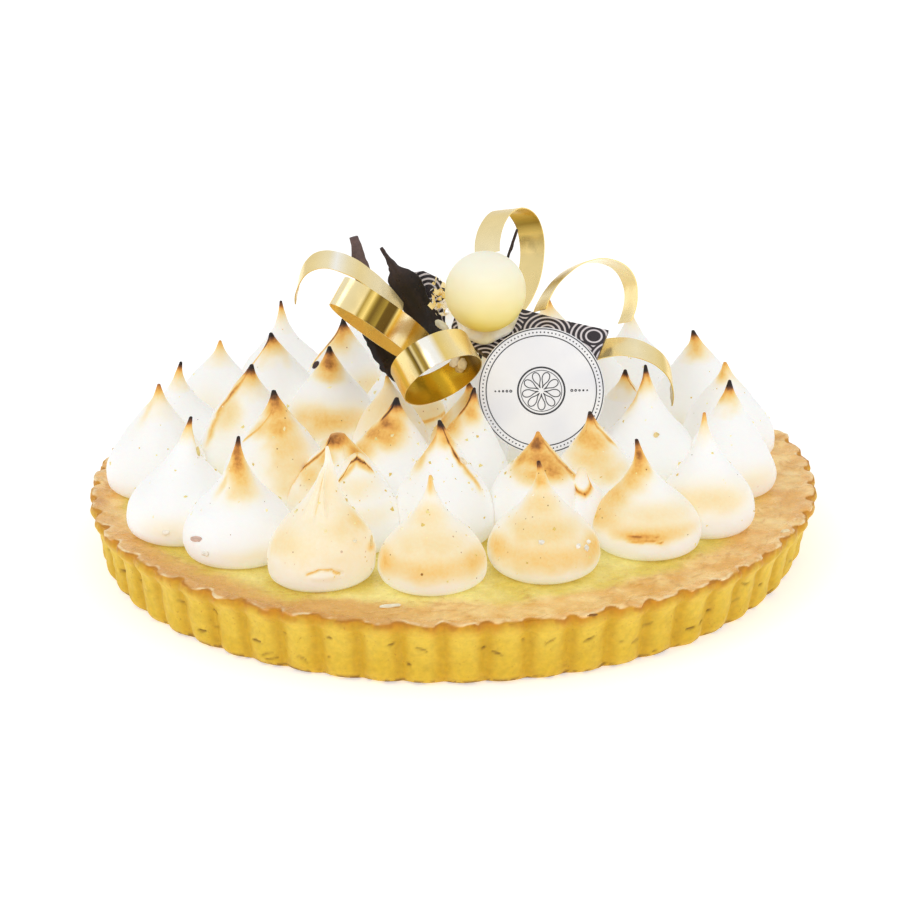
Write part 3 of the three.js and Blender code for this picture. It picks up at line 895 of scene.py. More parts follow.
    def tint(self, points: Array, angle: Array, share: Array, below: Array,
             crack: Array) -> tuple[Array, Array]:
        """Lemon gold on the wall with painted shade in its grooves, painted orange shade under the lip,
        glaze with painted glints over the rim, brown at the foot.

        Args:
            points: the shell's points.
            angle: their directions round the shell.
            share: their shares of the height.
            below: how far they lie past the glaze's edge.
            crack: how deep a split is at each, 0 to 1.

        Returns:
            The colour and the gloss of each point.
        """
        lift, height = self.lift(angle), points[..., 2]
        patch = noise(points, 7.0, self.seed + 20, 3)
        # Grooves take the darker groove colour and lobes the lighter lobe gold: painted shade in the
        # grooves.
        body = np.clip(smoothstep(0.45, 1.0, lift) + 0.12 * patch, 0, 1)
        light = between(self.lobe, height / 17.0 + 0.3 * patch)
        gold = mixed(linear(self.groove) + 0 * light, light, body)
        # Painted shade under the overhanging lip: orange, strongest over the grooves, plus a band just past
        # the glaze's edge.
        arch = smoothstep(5.2, 1.4, below) * (1.0 - 0.75 * lift**2) + 0.7 * smoothstep(2.6, 0.0, below)
        gold = washed(gold, self.arch, np.clip(0.8 * arch, 0, 1))
        # Darker brown patches where noise is high, in a band up to about 2 mm past the glaze's edge.
        dark_lip_spots = smoothstep(2.2, 0.2, below) * smoothstep(-0.05, 0.3, noise(points, 2.6, self.seed + 33))
        foot = smoothstep(2.3, 0.8, height) * smoothstep(-0.05, 0.3, noise(points, 1.7, self.seed + 30))
        stains = ((self.dark_lip_spots, 0.6 * dark_lip_spots), (self.dark, 0.85 * foot), (self.split, 0.95 * crack))
        for colour, amount in stains:
            gold = washed(gold, colour, amount)
        glaze = smoothstep(0.2, -0.2, below) * smoothstep(0.7, 0.8, share)
        over = self.glaze.tint(points, np.hypot(points[..., 0], points[..., 1]))
        # Painted highlight: pale glints in patches on the glaze, within about 1.4 mm inside its edge.
        painted_glint = np.clip(0.3 + 1.4 * noise(points, 4.0, self.seed + 50, 3), 0, 1)
        painted_glint = painted_glint * glaze * smoothstep(-1.4, -0.3, below)
        over = washed(over, self.painted_glint, 0.8 * painted_glint)
        return mixed(gold, over, glaze), glaze * (share > 0.7)

    def make(self) -> Piece:
        """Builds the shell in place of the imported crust.

        Returns:
            The new piece.
        """
        radius, height, angle, share = self.rings()
        points = around(radius, angle, height)
        crack = self.cracks(angle, height) * (share < 0.8)
        outward = around(1.0, angle, 0 * angle)
        free = radius > self.rim_inner + 0.4
        live = (share > 0.02) * free
        lip = np.argmax(share[:, 0] == 1.0) - 1
        inside = np.arange(len(radius))[:, None] > lip
        fall = np.where(inside, radius - radius[lip], height[lip] - height)
        below = self.uncovered(points, fall, angle)
        skin = smoothstep(0.2, -0.4, below) * smoothstep(0.8, 0.9, share)
        push = (self.relief(points, share) - 0.7 * crack) * (share < 1) + 0.3 * skin * ~inside
        points = points + outward * (push * live)[..., None]
        reach = np.hypot(points[..., 0], points[..., 1])
        points[..., 2] += (0.8 * self.glaze.relief(points, reach) + 0.12 * noise(points, 2.6, self.seed + 60)
                           + 0.3 * skin) * (share > 0.95) * free
        tint, gloss = self.tint(points, angle, share, below, crack)
        surface = capped(points, np.zeros(3), np.array([0, 0, self.floor]), {"tint": tint, "gloss": gloss})
        return surface.build("crust_baked", PastryFinish("baked_shortcrust").material(), "crust", "crust")


@dataclass
class LemonCurd:
    """The filling: a disc of curd that laps against the inside of the rim under the glaze."""

    glaze: TopGlaze
    radius: float = 115.0
    top: float = 20.7
    well: float = 110.0
    floor: float = 4.4
    columns: int = 480
    seed: int = 81

    def make(self) -> Piece:
        """Builds the curd: rings that crowd towards the edge, with a wrinkled skin.

        Returns:
            The new piece.
        """
        reach = np.concatenate([np.linspace(4, 84, 12), np.linspace(86, self.radius, 54)])[:, None]
        reach, angle = np.broadcast_arrays(reach, turns(self.columns))
        points = around(reach, angle, self.top + 0 * reach)
        points[..., 2] += self.glaze.relief(points, reach)
        points[..., 2] += 0.05 * noise(points, 2.4, self.seed + 31) * smoothstep(88, 96, reach)
        tint = self.glaze.tint(points, reach)
        wall = points[-1:] * [1, 1, 0] + [0, 0, self.top - 1.6]
        floor = wall * np.array([self.well, self.well, 0]) / self.radius + [0, 0, self.floor]
        rings = np.concatenate([points, wall, floor])[::-1]
        tints = np.concatenate([tint, tint[-1:], tint[-1:]])[::-1]
        gloss = np.ones(rings.shape[:2])
        surface = capped(rings, np.array([0, 0, self.floor]), np.array([0, 0, self.top]),
                         {"tint": tints, "gloss": gloss})
        finish = PastryFinish("lemon_curd", grit=0.3)
        return surface.build("lemon_curd_skin", finish.material(), "curd", "lemon_curd")


# ---- meringue kisses


FOOT = ((0, 0.9), (0.06, 0.97), (0.15, 1))


class Profile(Enum):
    """How a kiss's radius runs with its height: pairs of height share and radius share."""

    SLENDER = (*FOOT, (0.28, 0.94), (0.4, 0.79), (0.5, 0.59), (0.6, 0.4), (0.7, 0.25), (0.8, 0.14),
               (0.9, 0.07), (1, 0.03))
    PEAKED = (*FOOT, (0.33, 0.89), (0.5, 0.69), (0.66, 0.46), (0.78, 0.27), (0.88, 0.13), (0.95, 0.07),
              (1, 0.035))
    BROAD = (*FOOT, (0.33, 0.94), (0.5, 0.8), (0.6, 0.66), (0.7, 0.48), (0.8, 0.3), (0.88, 0.17),
             (0.95, 0.08), (1, 0.035))
    DOMED = (*FOOT, (0.33, 0.9), (0.5, 0.72), (0.65, 0.52), (0.8, 0.34), (0.9, 0.24), (0.96, 0.16),
             (1, 0.07))
    STUB = ((0, 0.9), (0.08, 0.98), (0.2, 1), (0.35, 0.99), (0.48, 0.9), (0.6, 0.72), (0.75, 0.47),
            (0.88, 0.27), (0.95, 0.19), (1, 0.14))


@dataclass(frozen=True)
class Patch:
    """One place the torch browned: direction from the front, height share, half widths, depth.

    Directions and the width are in degrees, the height and the tall half width are shares.
    """

    azimuth: float
    share: float
    wide: float
    tall: float
    depth: float

    def heat(self, azimuth: Array, share: Array) -> Array:
        """Depth times a soft-edged bell over the two distances in half widths.

        Args:
            azimuth: directions from the front, in degrees.
            share: shares of the height.

        Returns:
            The heat at each place.
        """
        turn = (azimuth - self.azimuth + 180.0) % 360.0 - 180.0
        away = (turn / self.wide) ** 2 + ((share - self.share) / self.tall) ** 2
        return self.depth * np.exp(-(away**1.15))


@dataclass(frozen=True)
class Streak:
    """A browned line between two places on a kiss, each a direction and a height share.

    Distances are counted in shares of the height, 100 degrees being one, and the heat is a bell
    over the distance from the line.
    """

    azimuth: float
    share: float
    end_azimuth: float
    end_share: float
    half_width: float
    depth: float

    def heat(self, azimuth: Array, share: Array) -> Array:
        """Depth times a bell over the distance to the nearest point of the line.

        Args:
            azimuth: directions from the front, in degrees.
            share: shares of the height.

        Returns:
            The heat at each place.
        """
        turn = ((azimuth - self.azimuth + 180.0) % 360.0 - 180.0) / 100.0
        along, up = (self.end_azimuth - self.azimuth) / 100.0, self.end_share - self.share
        t = np.clip((turn * along + (share - self.share) * up) / (along**2 + up**2), 0, 1)
        away = np.hypot(turn - t * along, share - self.share - t * up)
        return self.depth * np.exp(-((away / self.half_width) ** 2))


Mark = Patch | Streak


@dataclass
class Kiss:
    """One piped kiss: a disc at each height share s, whose middle leans by s^1.6 and whose radius
    follows the profile, turned out of true by slow waves, with a hooked and charred tip."""

    name: str
    x: float
    y: float
    height: float
    radius: float
    lean_x: float
    lean_y: float
    profile: Profile
    char: float = 0.9
    marks: tuple[Mark, ...] = ()
    creases: tuple[Streak, ...] = ()
    foot: float = 21.0
    lean_power: float = 1.6
    gap: float = -0.2
    reach: float = 4.0
    columns: int = 96
    rows: int = 64

    def seed(self) -> int:
        """A fixed number for this kiss, from the letters of its name."""
        return sum((i + 3) * ord(letter) for i, letter in enumerate(self.name))

    def disc(self, share: Array) -> tuple[Array, Array, Array]:
        """Middle x, middle y and radius at shares of the height.

        Args:
            share: shares of the height.

        Returns:
            The three, in millimetres.
        """
        lean = np.maximum(share, 0.0) ** self.lean_power
        radius = self.radius * curve_through(self.profile.value, share)
        return self.x + self.lean_x * lean, self.y + self.lean_y * lean, radius

    def skin(self, azimuth: Array, share: Array) -> Array:
        """Points of the free skin, before the neighbours press on it.

        Args:
            azimuth: directions from the front, in degrees.
            share: shares of the height.

        Returns:
            Points in millimetres on the last axis.
        """
        chance = np.random.default_rng(self.seed())
        phases = chance.uniform(0, 2 * np.pi, 4)
        x, y, radius = self.disc(share)
        angle = np.radians(azimuth)
        body = 1 - share**2
        out = 1 + body * (0.022 * np.sin(2 * angle + phases[0]) + 0.014 * np.sin(3 * angle + phases[1]))
        out = out + 0.025 * np.sin(6.0 * share + 2.0 * angle + phases[2]) * share * (1 - share) * 4
        hook = chance.uniform(0.3, 1.5) * smoothstep(0.84, 1.06, share)
        x = x + hook * np.cos(phases[3])
        y = y + hook * np.sin(phases[3])
        points = around(radius * out, angle, self.foot + share * self.height, x, y)
        rough = 0.34 * noise(points, 9.0, self.seed()) + 0.12 * noise(points, 3.0, self.seed() + 7)
        rough = rough * smoothstep(0.0, 0.1, share) * (1 - 0.75 * smoothstep(0.75, 0.95, share))
        for crease in self.creases:
            rough = rough - crease.heat(azimuth, share)
        return points + around(rough, angle, 0 * rough)

    def pressed(self, points: Array, share: Array, others: list["Kiss"]) -> Array:
        """Moves skin that passes the plane shared with a neighbour back to it, softly.

        With d the distance of two discs of radii r and q, the plane stands at
        (d^2 + r^2 - q^2) / 2d from this kiss's middle.

        Args:
            points: the free skin.
            share: shares of the height.
            others: every other kiss.

        Returns:
            The moved points.
        """
        x, y, radius = self.disc(share)
        for other in others:
            if math.hypot(other.x - self.x, other.y - self.y) > other.radius + self.radius + self.reach:
                continue
            beside = share * self.height / other.height
            ox, oy, other_radius = other.disc(np.minimum(beside, 1.0))
            away = np.stack([ox - x, oy - y], axis=-1)
            distance = np.linalg.norm(away, axis=-1)
            away = away / distance[..., None]
            plane = (distance**2 + radius**2 - other_radius**2) / (2 * distance) - 0.5 * self.gap
            along = (points[..., 0] - x) * away[..., 0] + (points[..., 1] - y) * away[..., 1]
            over = along - plane
            back = 0.5 * (over + np.sqrt(over**2 + 0.04)) * (beside <= 1.0)
            points[..., :2] -= away * back[..., None]
        return points

    def toast(self, points: Array, azimuth: Array, share: Array) -> Array:
        """How brown the skin is, 0 to 1, less at the foot.

        The marks and the charred tip are blended as the fourth root of the sum of their fourth
        powers, so that one runs into the next.

        Args:
            points: places in millimetres.
            azimuth: directions from the front, in degrees.
            share: shares of the height.

        Returns:
            The brownness at each point.
        """
        stray = noise(points, 5.0, self.seed() + 3, 3)
        rise = curve_through(((0.7, 0.0), (0.82, 0.24), (0.91, 0.6), (0.96, 0.92), (1.0, 1.1)), share)
        total = (self.char * np.clip(rise + 0.1 * stray * (rise > 0), 0, 1.2)) ** 4
        for mark in self.marks:
            heat = mark.heat(azimuth + 6.0 * stray, share + 0.016 * stray)
            total = total + (heat * (1 + 0.12 * stray)) ** 4
        return np.clip(total**0.25 * smoothstep(0.02, 0.13, share), 0, 1)

    def make(self, others: list["Kiss"], material: Material, slot: str) -> Piece:
        """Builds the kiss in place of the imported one.

        Args:
            others: every other kiss of the pie.
            material: the meringue's finish.
            slot: the record's slot for it.

        Returns:
            The new piece.
        """
        finer = 2 if self.creases else 1
        steps = np.linspace(0.0, 1.0, self.rows * finer)
        share = (steps + 0.06 * np.sin(2 * np.pi * steps) / 2)[:, None]
        azimuth = 360.0 * np.arange(self.columns * finer)[None] / (self.columns * finer)
        share, azimuth = np.broadcast_arrays(share, azimuth)
        free = self.skin(azimuth, share)
        points = self.pressed(free.copy(), share, others)
        pressed = np.linalg.norm(free - points, axis=-1)
        tuck = 1 - 0.06 * smoothstep(0.03, 0.0, share)
        points[..., 0] = self.x + (points[..., 0] - self.x) * tuck
        points[..., 1] = self.y + (points[..., 1] - self.y) * tuck
        # Where the skin is pressed against a neighbour the toast is at least 0.22: painted shade, a warm
        # darkening in the crevices between kisses.
        heat = np.maximum(self.toast(points, azimuth, share), 0.22 * smoothstep(0.0, 0.5, pressed))
        tip = points[-1].mean(axis=0) + [0, 0, 0.3]
        foot = np.array([self.x, self.y, self.foot])
        surface = capped(points, foot, tip, {"toast": heat})
        return surface.build(self.name + "_piped", material, slot, self.name)


def spots(rows: tuple[tuple[float, ...], ...]) -> tuple[Mark, ...]:
    """Marks from rows of numbers: five make a patch and six a streak."""
    return tuple(Patch(*row) if len(row) == 5 else Streak(*row) for row in rows)


SLENDER, PEAKED, BROAD, DOMED, STUB = Profile


# The outer row, from the left of the pie round its front and right to its back: foot x and y,
# height, radius, lean, profile, char of the tip, the marks and the creases.
OUTER_KISSES = (
    (-93, 27, 32, 16, 1, 0, SLENDER, 0.95, ((-60, 0.9, 40, 0.1, 0.45),)),
    (-98, -5, 35, 16.4, 2.7, 1, PEAKED, 0.7, ((-50, 0.8, 25, 0.15, 0.25),)),
    (-86.4, -42.5, 38, 17, 4.2, 0, SLENDER, 0.85, ((90, 0.84, 40, 0.12, 0.42), (-10, 0.17, 34, 0.1, 0.15))),
    (-66.5, -61, 38, 17, 0.4, 0, SLENDER, 1, ((0, 0.88, 120, 0.09, 0.72), (4, 0.79, 90, 0.1, 0.62),
     (10, 0.69, 60, 0.1, 0.52), (14, 0.6, 50, 0.09, 0.36), (-52, 0.64, 14, 0.1, 0.4),
     (20, 0.12, 50, 0.06, 0.13))),
    (-40.8, -80, 41.5, 16.2, 4.3, 1, SLENDER, 0.16, ((0, 0.45, 160, 0.5, 0.2), (5, 0.3, 88, 0.2, 0.2),
     (50, 0.46, 50, 0.16, 0.28), (70, 0.46, 24, 0.1, 0.4), (15, 0.72, 70, 0.2, 0.24),
     (-50, 0.34, 40, 0.14, 0.3), (74, 0.27, 12, 0.05, 0.44), (-12, 0.16, -1, 0.185, 0.011, 0.6),
     (-1, 0.185, 14, 0.185, 0.011, 0.6), (14, 0.185, 26, 0.155, 0.011, 0.6),
     # In this kiss the streak from -30 at 0.78 to -18 at 0.56 is painted shade in the valley between the two
     # raised folds.
     (-30, 0.78, -18, 0.56, 0.03, 0.36)), ((-12, 0.16, -1, 0.185, 0.013, 0.9),
     (-1, 0.185, 14, 0.185, 0.013, 0.9), (14, 0.185, 26, 0.155, 0.013, 0.9),
     (-4, 0.14, 18, 0.14, 0.03, -0.6), (-14, 0.84, 4, 0.57, 0.034, -1.6),
     (-44, 0.84, -40, 0.56, 0.036, -1.4), (-30, 0.8, -18, 0.54, 0.03, 0.8))),
    (-6.8, -83, 33, 16.8, 0, 0, SLENDER, 0.5, ((0, 0.27, 95, 0.14, 0.42), (-64, 0.27, 34, 0.13, 0.47),
     (56, 0.28, 34, 0.13, 0.44), (-3, 0.46, 85, 0.16, 0.32), (-6, 0.66, 80, 0.16, 0.3),
     (-8, 0.93, 60, 0.09, 0.52))),
    (27.6, -74.6, 34, 17.4, -1, 0, SLENDER, 0.74, ((0, 0.26, 95, 0.14, 0.45), (-66, 0.27, 30, 0.13, 0.47),
     (64, 0.26, 30, 0.14, 0.5), (-3, 0.46, 85, 0.16, 0.4), (-5, 0.66, 80, 0.15, 0.36),
     (-6, 0.85, 100, 0.1, 0.54))),
    (60.4, -58, 34, 17.2, -3.4, 1, SLENDER, 0.8, ((-74, 0.5, 46, 0.14, 0.52), (-72, 0.34, 44, 0.13, 0.48),
     (-50, 0.66, 56, 0.12, 0.52), (-4, 0.88, 120, 0.12, 0.66), (-24, 0.76, 70, 0.11, 0.6),
     (30, 0.76, 40, 0.06, 0.46), (-8, 0.24, 34, 0.055, 0.64), (-28, 0.205, 16, 0.2, 0.014, 0.76),
     (-22, 0.25, 10, 0.25, 0.012, 0.7), (4, 0.27, 66, 0.09, 0.46), (10, 0.4, 80, 0.14, 0.28))),
    (80.5, -43.5, 37.5, 14.8, -2.1, 0, SLENDER, 0.62, ((2, 0.34, 76, 0.14, 0.29),
     (-40, 0.93, 40, 0.05, 0.5))),
    (89.8, -12, 36, 15, 0.2, 3, PEAKED, 0.95, ((-70, 0.88, 45, 0.08, 0.5), (35, 0.2, 40, 0.12, 0.16))),
    (93, 21, 32, 16.2, -1.5, 0, PEAKED, 0.6, ((-40, 0.88, 60, 0.1, 0.5),)),
    (85, 50, 33, 16.4, -1, 0, PEAKED, 0.9, ((0, 0.86, 60, 0.1, 0.5),)),
    (64, 75, 34, 16.2, -1, 0, SLENDER, 0.6, ((150, 0.4, 40, 0.2, 0.4),)),
    (37, 90, 33, 16.2, -3, 0, PEAKED, 0.8, ((170, 0.3, 60, 0.16, 0.42), (200, 0.7, 60, 0.2, 0.4))),
    (4, 97, 34, 16.4, 0, 0, PEAKED, 0.8, ((180, 0.28, 70, 0.16, 0.45), (150, 0.8, 60, 0.12, 0.55))),
    (-30, 92, 33, 16.4, 1, 0, PEAKED, 0.85, ((160, 0.32, 60, 0.18, 0.4), (230, 0.6, 40, 0.2, 0.5))),
    (-60, 77, 37, 16.4, 0, 0, SLENDER, 0.85, ((200, 0.3, 60, 0.16, 0.4),)),
    (-82, 54, 30, 15.6, 2, 0, PEAKED, 0.6, ((-20, 0.35, 40, 0.2, 0.12),)),
)

INNER_KISSES = (
    (-68, 8, 37, 16.6, 1, 1, BROAD, 1, ((-40, 0.9, -60, 0.76, 0.1, 0.64),
     (-60, 0.76, -64, 0.44, 0.12, 0.56), (-40, 0.62, 30, 0.16, 0.38))),
    (-60, 40, 37.5, 16.4, -1, 0, BROAD, 1, ((-40, 0.99, -74, 0.88, 0.06, 0.84),
     (-76, 0.86, -84, 0.72, 0.09, 0.62))),
    (-57, -27, 40.5, 17.6, 1, 0, BROAD, 0.95, ((6, 0.88, 90, 0.09, 0.7), (14, 0.77, 66, 0.1, 0.58),
     (22, 0.64, 46, 0.14, 0.43), (24, 0.48, 42, 0.14, 0.34), (24, 0.34, 34, 0.1, 0.28),
     (-40, 0.74, 30, 0.08, 0.44), (-20, 0.86, -69, 0.63, 0.02, 0.6))),
    (-41, 24, 37, 16.4, 0, 2, BROAD, 1, ((-8, 0.88, 100, 0.1, 0.7), (-8, 0.78, 60, 0.06, 0.5),
     (-14, 0.46, 60, 0.11, 0.43), (6, 0.42, 46, 0.1, 0.45), (-30, 0.34, 50, 0.1, 0.34))),
    (-38, 55, 37, 15.6, 1, 0, BROAD, 1, ((-50, 0.97, -78, 0.8, 0.08, 0.76),
     (-78, 0.8, -88, 0.62, 0.07, 0.66), (-24, 0.86, 60, 0.14, 0.54), (44, 0.45, 44, 0.13, 0.26))),
    (-21.5, -25, 37, 16.6, 4, 0, BROAD, 1, ((-30, 0.96, -70, 0.84, 0.06, 0.9), (-40, 0.82, 66, 0.08, 0.7),
     (-60, 0.72, 50, 0.09, 0.66), (-60, 0.6, 34, 0.1, 0.54), (-14, 0.72, 50, 0.1, 0.56),
     (14, 0.8, 40, 0.1, 0.54))),
    (-30.5, -51, 28.5, 16.2, 0.5, 0, DOMED, 0.25, ((-50, 0.74, -33, 0.93, 0.026, 0.8),
     (-33, 0.93, 0, 0.985, 0.03, 0.84), (0, 0.985, 50, 0.92, 0.03, 0.84), (50, 0.92, 80, 0.8, 0.026, 0.8),
     (-50, 0.76, 0, 0.97, 0.06, 0.5), (0, 0.97, 76, 0.82, 0.06, 0.5), (10, 0.7, 70, 0.14, 0.2),
     (20, 0.42, 60, 0.12, 0.16))),
    (-3, -49, 38, 16.8, 0, 0, PEAKED, 1, ((26, 0.93, 46, 0.74, 0.08, 0.78), (46, 0.74, 62, 0.5, 0.08, 0.6),
     (-80, 0.84, 40, 0.1, 0.66), (20, 0.86, 80, 0.07, 0.56), (-80, 0.68, 26, 0.1, 0.5))),
    (4, -20, 38, 14.2, 3, 0, PEAKED, 0.95, ((-30, 0.99, -80, 0.78, 0.09, 0.76), (-76, 0.68, 52, 0.12, 0.6),
     (-5, 0.82, 62, 0.1, 0.58))),
    (27, -46, 33, 16.2, 0, 0, BROAD, 0.6, ((-10, 0.91, 130, 0.1, 0.73), (0, 0.78, 100, 0.1, 0.68),
     (40, 0.7, 40, 0.1, 0.6), (50, 0.86, 76, 0.62, 0.1, 0.68), (-70, 0.76, 30, 0.12, 0.6),
     (0, 0.66, 80, 0.08, 0.54))),
    (46, -29, 33, 16.4, -2, 0, PEAKED, 0.85, ((40, 0.9, 76, 0.72, 0.07, 0.62), (-40, 0.8, 70, 0.12, 0.58),
     (10, 0.76, 60, 0.12, 0.53), (-10, 0.62, 70, 0.12, 0.42), (16, 0.5, 60, 0.1, 0.34),
     (-48, 0.93, -40, 0.84, 0.02, 0.7))),
    (64, -7, 41, 17.6, -1, 0, SLENDER, 1, ((-70, 0.88, 50, 0.1, 0.66), (-95, 0.74, 36, 0.14, 0.56),
     (40, 0.88, 40, 0.06, 0.5))),
    (58, 21, 29, 15.4, 0, 0, PEAKED, 0.95, ((20, 0.98, 60, 0.8, 0.04, 0.8), (30, 0.86, 50, 0.08, 0.4))),
    (50, 47, 34, 16.4, 0, 0, PEAKED, 0.8, ((200, 0.5, 60, 0.2, 0.4),)),
    (24, 65, 35, 16.4, 0, 0, PEAKED, 0.85, ((170, 0.6, 70, 0.2, 0.45),)),
    (-5, 67, 36, 16.4, 0, 0, PEAKED, 0.9, ((190, 0.7, 60, 0.2, 0.5),)),
    (-17, 38, 34, 15.6, 0, 0, PEAKED, 0.4, ((50, 0.36, 60, 0.16, 0.3), (20, 0.3, 78, 0.28, 0.024, 0.62))),
    (-21, 13, 31, 14.6, 0, 0, PEAKED, 0.5, ((-20, 0.7, 110, 0.34, 0.3),)),
    (6, 14, 28, 15, 0, 0, PEAKED, 0.8, ((-86, 0.52, 50, 0.2, 0.56), (0, 0.8, 80, 0.2, 0.5))),
    (33, 2, 41.5, 15.6, 0, 0, PEAKED, 0.7, ((0, 0.8, 60, 0.2, 0.3),)),
    (31, 28, 36, 15, 0, 0, PEAKED, 0.8, ((180, 0.6, 60, 0.2, 0.4),)),
    (12, 40, 35, 15.6, 0, 0, PEAKED, 0.8, ((180, 0.6, 60, 0.2, 0.4),)),
    (-40, -8, 17, 15.4, 0, 0, DOMED, 0.3, ((0, 0.6, 90, 0.4, 0.3),)),
)

# A stub with a wiped and browned top, and a small curled dab.
LOW_KISSES = (
    (-37, -37, 29.5, 17.4, 1.5, 0, STUB, 0.6, ((-20, 0.96, 130, 0.1, 0.7),
     (-56, 0.95, -84, 0.62, 0.08, 0.74), (-84, 0.62, -80, 0.4, 0.08, 0.6), (-40, 0.8, 34, 0.1, 0.54),
     (-48, 0.62, 34, 0.14, 0.42), (-50, 0.42, 34, 0.14, 0.2), (60, 0.84, 50, 0.12, 0.6)),
     ((14, 1, 14, 0.72, 0.03, -0.6),)),
    (44, -52, 21.5, 8.6, -4.5, 2, STUB, 0.2, ((-56, 0.78, -6, 0.71, 0.05, 0.68),
     (-6, 0.71, 46, 0.8, 0.05, 0.68), (46, 0.8, 60, 0.93, 0.04, 0.6)), ((-56, 0.73, -6, 0.66, 0.05, 0.8),
     (-6, 0.66, 46, 0.75, 0.05, 0.8))),
)


@dataclass
class MeringueTop:
    """Every kiss on the curd: the outer row, the inner rows and the two low ones."""

    outer: tuple[tuple, ...] = OUTER_KISSES
    inner: tuple[tuple, ...] = INNER_KISSES
    low: tuple[tuple, ...] = LOW_KISSES
    kisses: list[Kiss] = field(init=False)

    def __post_init__(self) -> None:
        """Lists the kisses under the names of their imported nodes."""
        rows = {"outer": self.outer, "inner": self.inner, "low": self.low}
        self.kisses = [Kiss(f"kiss_{row}_{index:02d}", *size[:8], *map(spots, size[8:]))
                       for row, sizes in rows.items() for index, size in enumerate(sizes, start=1)]

    def make(self) -> None:
        """Builds all kisses with one finish, passing the low ones the slot name of the toasted meringue."""
        material = MeringueFinish().material()
        for kiss in self.kisses:
            slot = "toasted_meringue" if kiss.name.startswith("kiss_low") else "meringue"
            kiss.make([other for other in self.kisses if other is not kiss], material, slot)

    def spot(self, name: str, azimuth: float, share: float) -> tuple[Array, Array]:
        """A place on one kiss's free skin and the direction out of the skin there.

        Args:
            name: the kiss's row and number.
            azimuth: the direction from the front, in degrees.
            share: the share of its height.

        Returns:
            The point in millimetres and the unit vector.
        """
        kiss = next(k for k in self.kisses if k.name == "kiss_" + name)
        here, aside, above = kiss.skin(azimuth + np.array([0.0, 3, 0]), share + np.array([0, 0, 0.03]))
        return here, unit(np.cross(aside - here, above - here))

    def landing(self, count: int, seed: int, middle: Pair = (-10.0, -45.0),
                spread: float = 34.0, far: float = 0.2) -> tuple[Array, Array]:
        """Random places on the kisses' free skins, higher than any neighbour's skin there.

        Args:
            count: how many places to try.
            seed: which random draw to make.
            middle: where most of them lie.
            spread: how far from there they reach, as a bell's width.
            far: the share kept anywhere else.

        Returns:
            Places in millimetres and the directions out of the skin there.
        """
        chance = np.random.default_rng(seed)
        places, outward = [], []
        for kiss in self.kisses:
            tries = max(1, round(count / len(self.kisses)))
            azimuth = chance.uniform(0, 360, tries)
            share = chance.uniform(0.1, 0.75, tries)
            points = kiss.skin(azimuth, share)
            away = np.hypot(points[:, 0] - middle[0], points[:, 1] - middle[1])
            free = chance.random(tries) < far + np.exp(-((away / spread) ** 2))
            for other in self.kisses:
                if other is kiss:
                    continue
                beside = (points[:, 2] - other.foot) / other.height
                ox, oy, radius = other.disc(np.clip(beside, 0, 1))
                free &= (np.hypot(points[:, 0] - ox, points[:, 1] - oy) > radius + 0.3) | (beside > 1)
            places.append(points[free])
            outward.append(around(1.0, np.radians(azimuth), 0.5 + 0 * azimuth)[free])
        return np.concatenate(places), unit(np.concatenate(outward))


# ---- crumbs and flakes


@dataclass
class Scatter:
    """Many small grains joined in one mesh, each an uneven eight-faced body.

    A grain's six corners stand on its axes at random reaches, so that no two are alike. Sink is
    the share of its size that it is pressed in by.
    """

    name: str
    smallest: float
    largest: float
    flatness: float
    colours: tuple[Triple, ...]
    finish: TintedFinish
    slot: str
    seed: int
    sink: float = 0.2

    def make(self, places: Array, outward: Array) -> Piece:
        """Builds one grain at each place.

        Args:
            places: the grains' middles in millimetres.
            outward: the direction each lies flat against.

        Returns:
            The joined piece.
        """
        chance = np.random.default_rng(self.seed)
        count = len(places)
        size = self.smallest + (self.largest - self.smallest) * chance.random(count) ** 2.2
        side = unit(np.cross(outward, unit(chance.normal(size=(count, 3)))))
        frames = np.stack([side, np.cross(outward, side), outward], axis=1)
        corners = np.repeat(np.eye(3), 2, axis=0) * np.array([[1], [-1]] * 3)
        reach = corners[None] * chance.uniform(0.55, 1.25, (count, 6, 1)) * [1, 1, self.flatness]
        reach = reach + chance.normal(scale=0.16, size=(count, 6, 3)) * [1, 1, self.flatness]
        points = np.einsum("nij,njk->nik", reach * size[:, None, None], frames)
        points = points + (places - outward * (size * self.flatness * self.sink)[:, None])[:, None]
        waist = ((0, 2), (2, 1), (1, 3), (3, 0))
        faces = np.array([(a, b, 4) for a, b in waist] + [(b, a, 5) for a, b in waist])
        faces = (faces[None] + 6 * np.arange(count)[:, None, None]).reshape(-1, 3)
        shades = np.array([linear(c) for c in self.colours])
        tint = np.repeat(shades[chance.integers(len(shades), size=count)], 6, axis=0)
        surface = Surface(points.reshape(-1, 3), [faces], {"tint": tint}).turned_out()
        return surface.build(self.name, self.finish.material(), self.slot, smooth_angle=35.0)


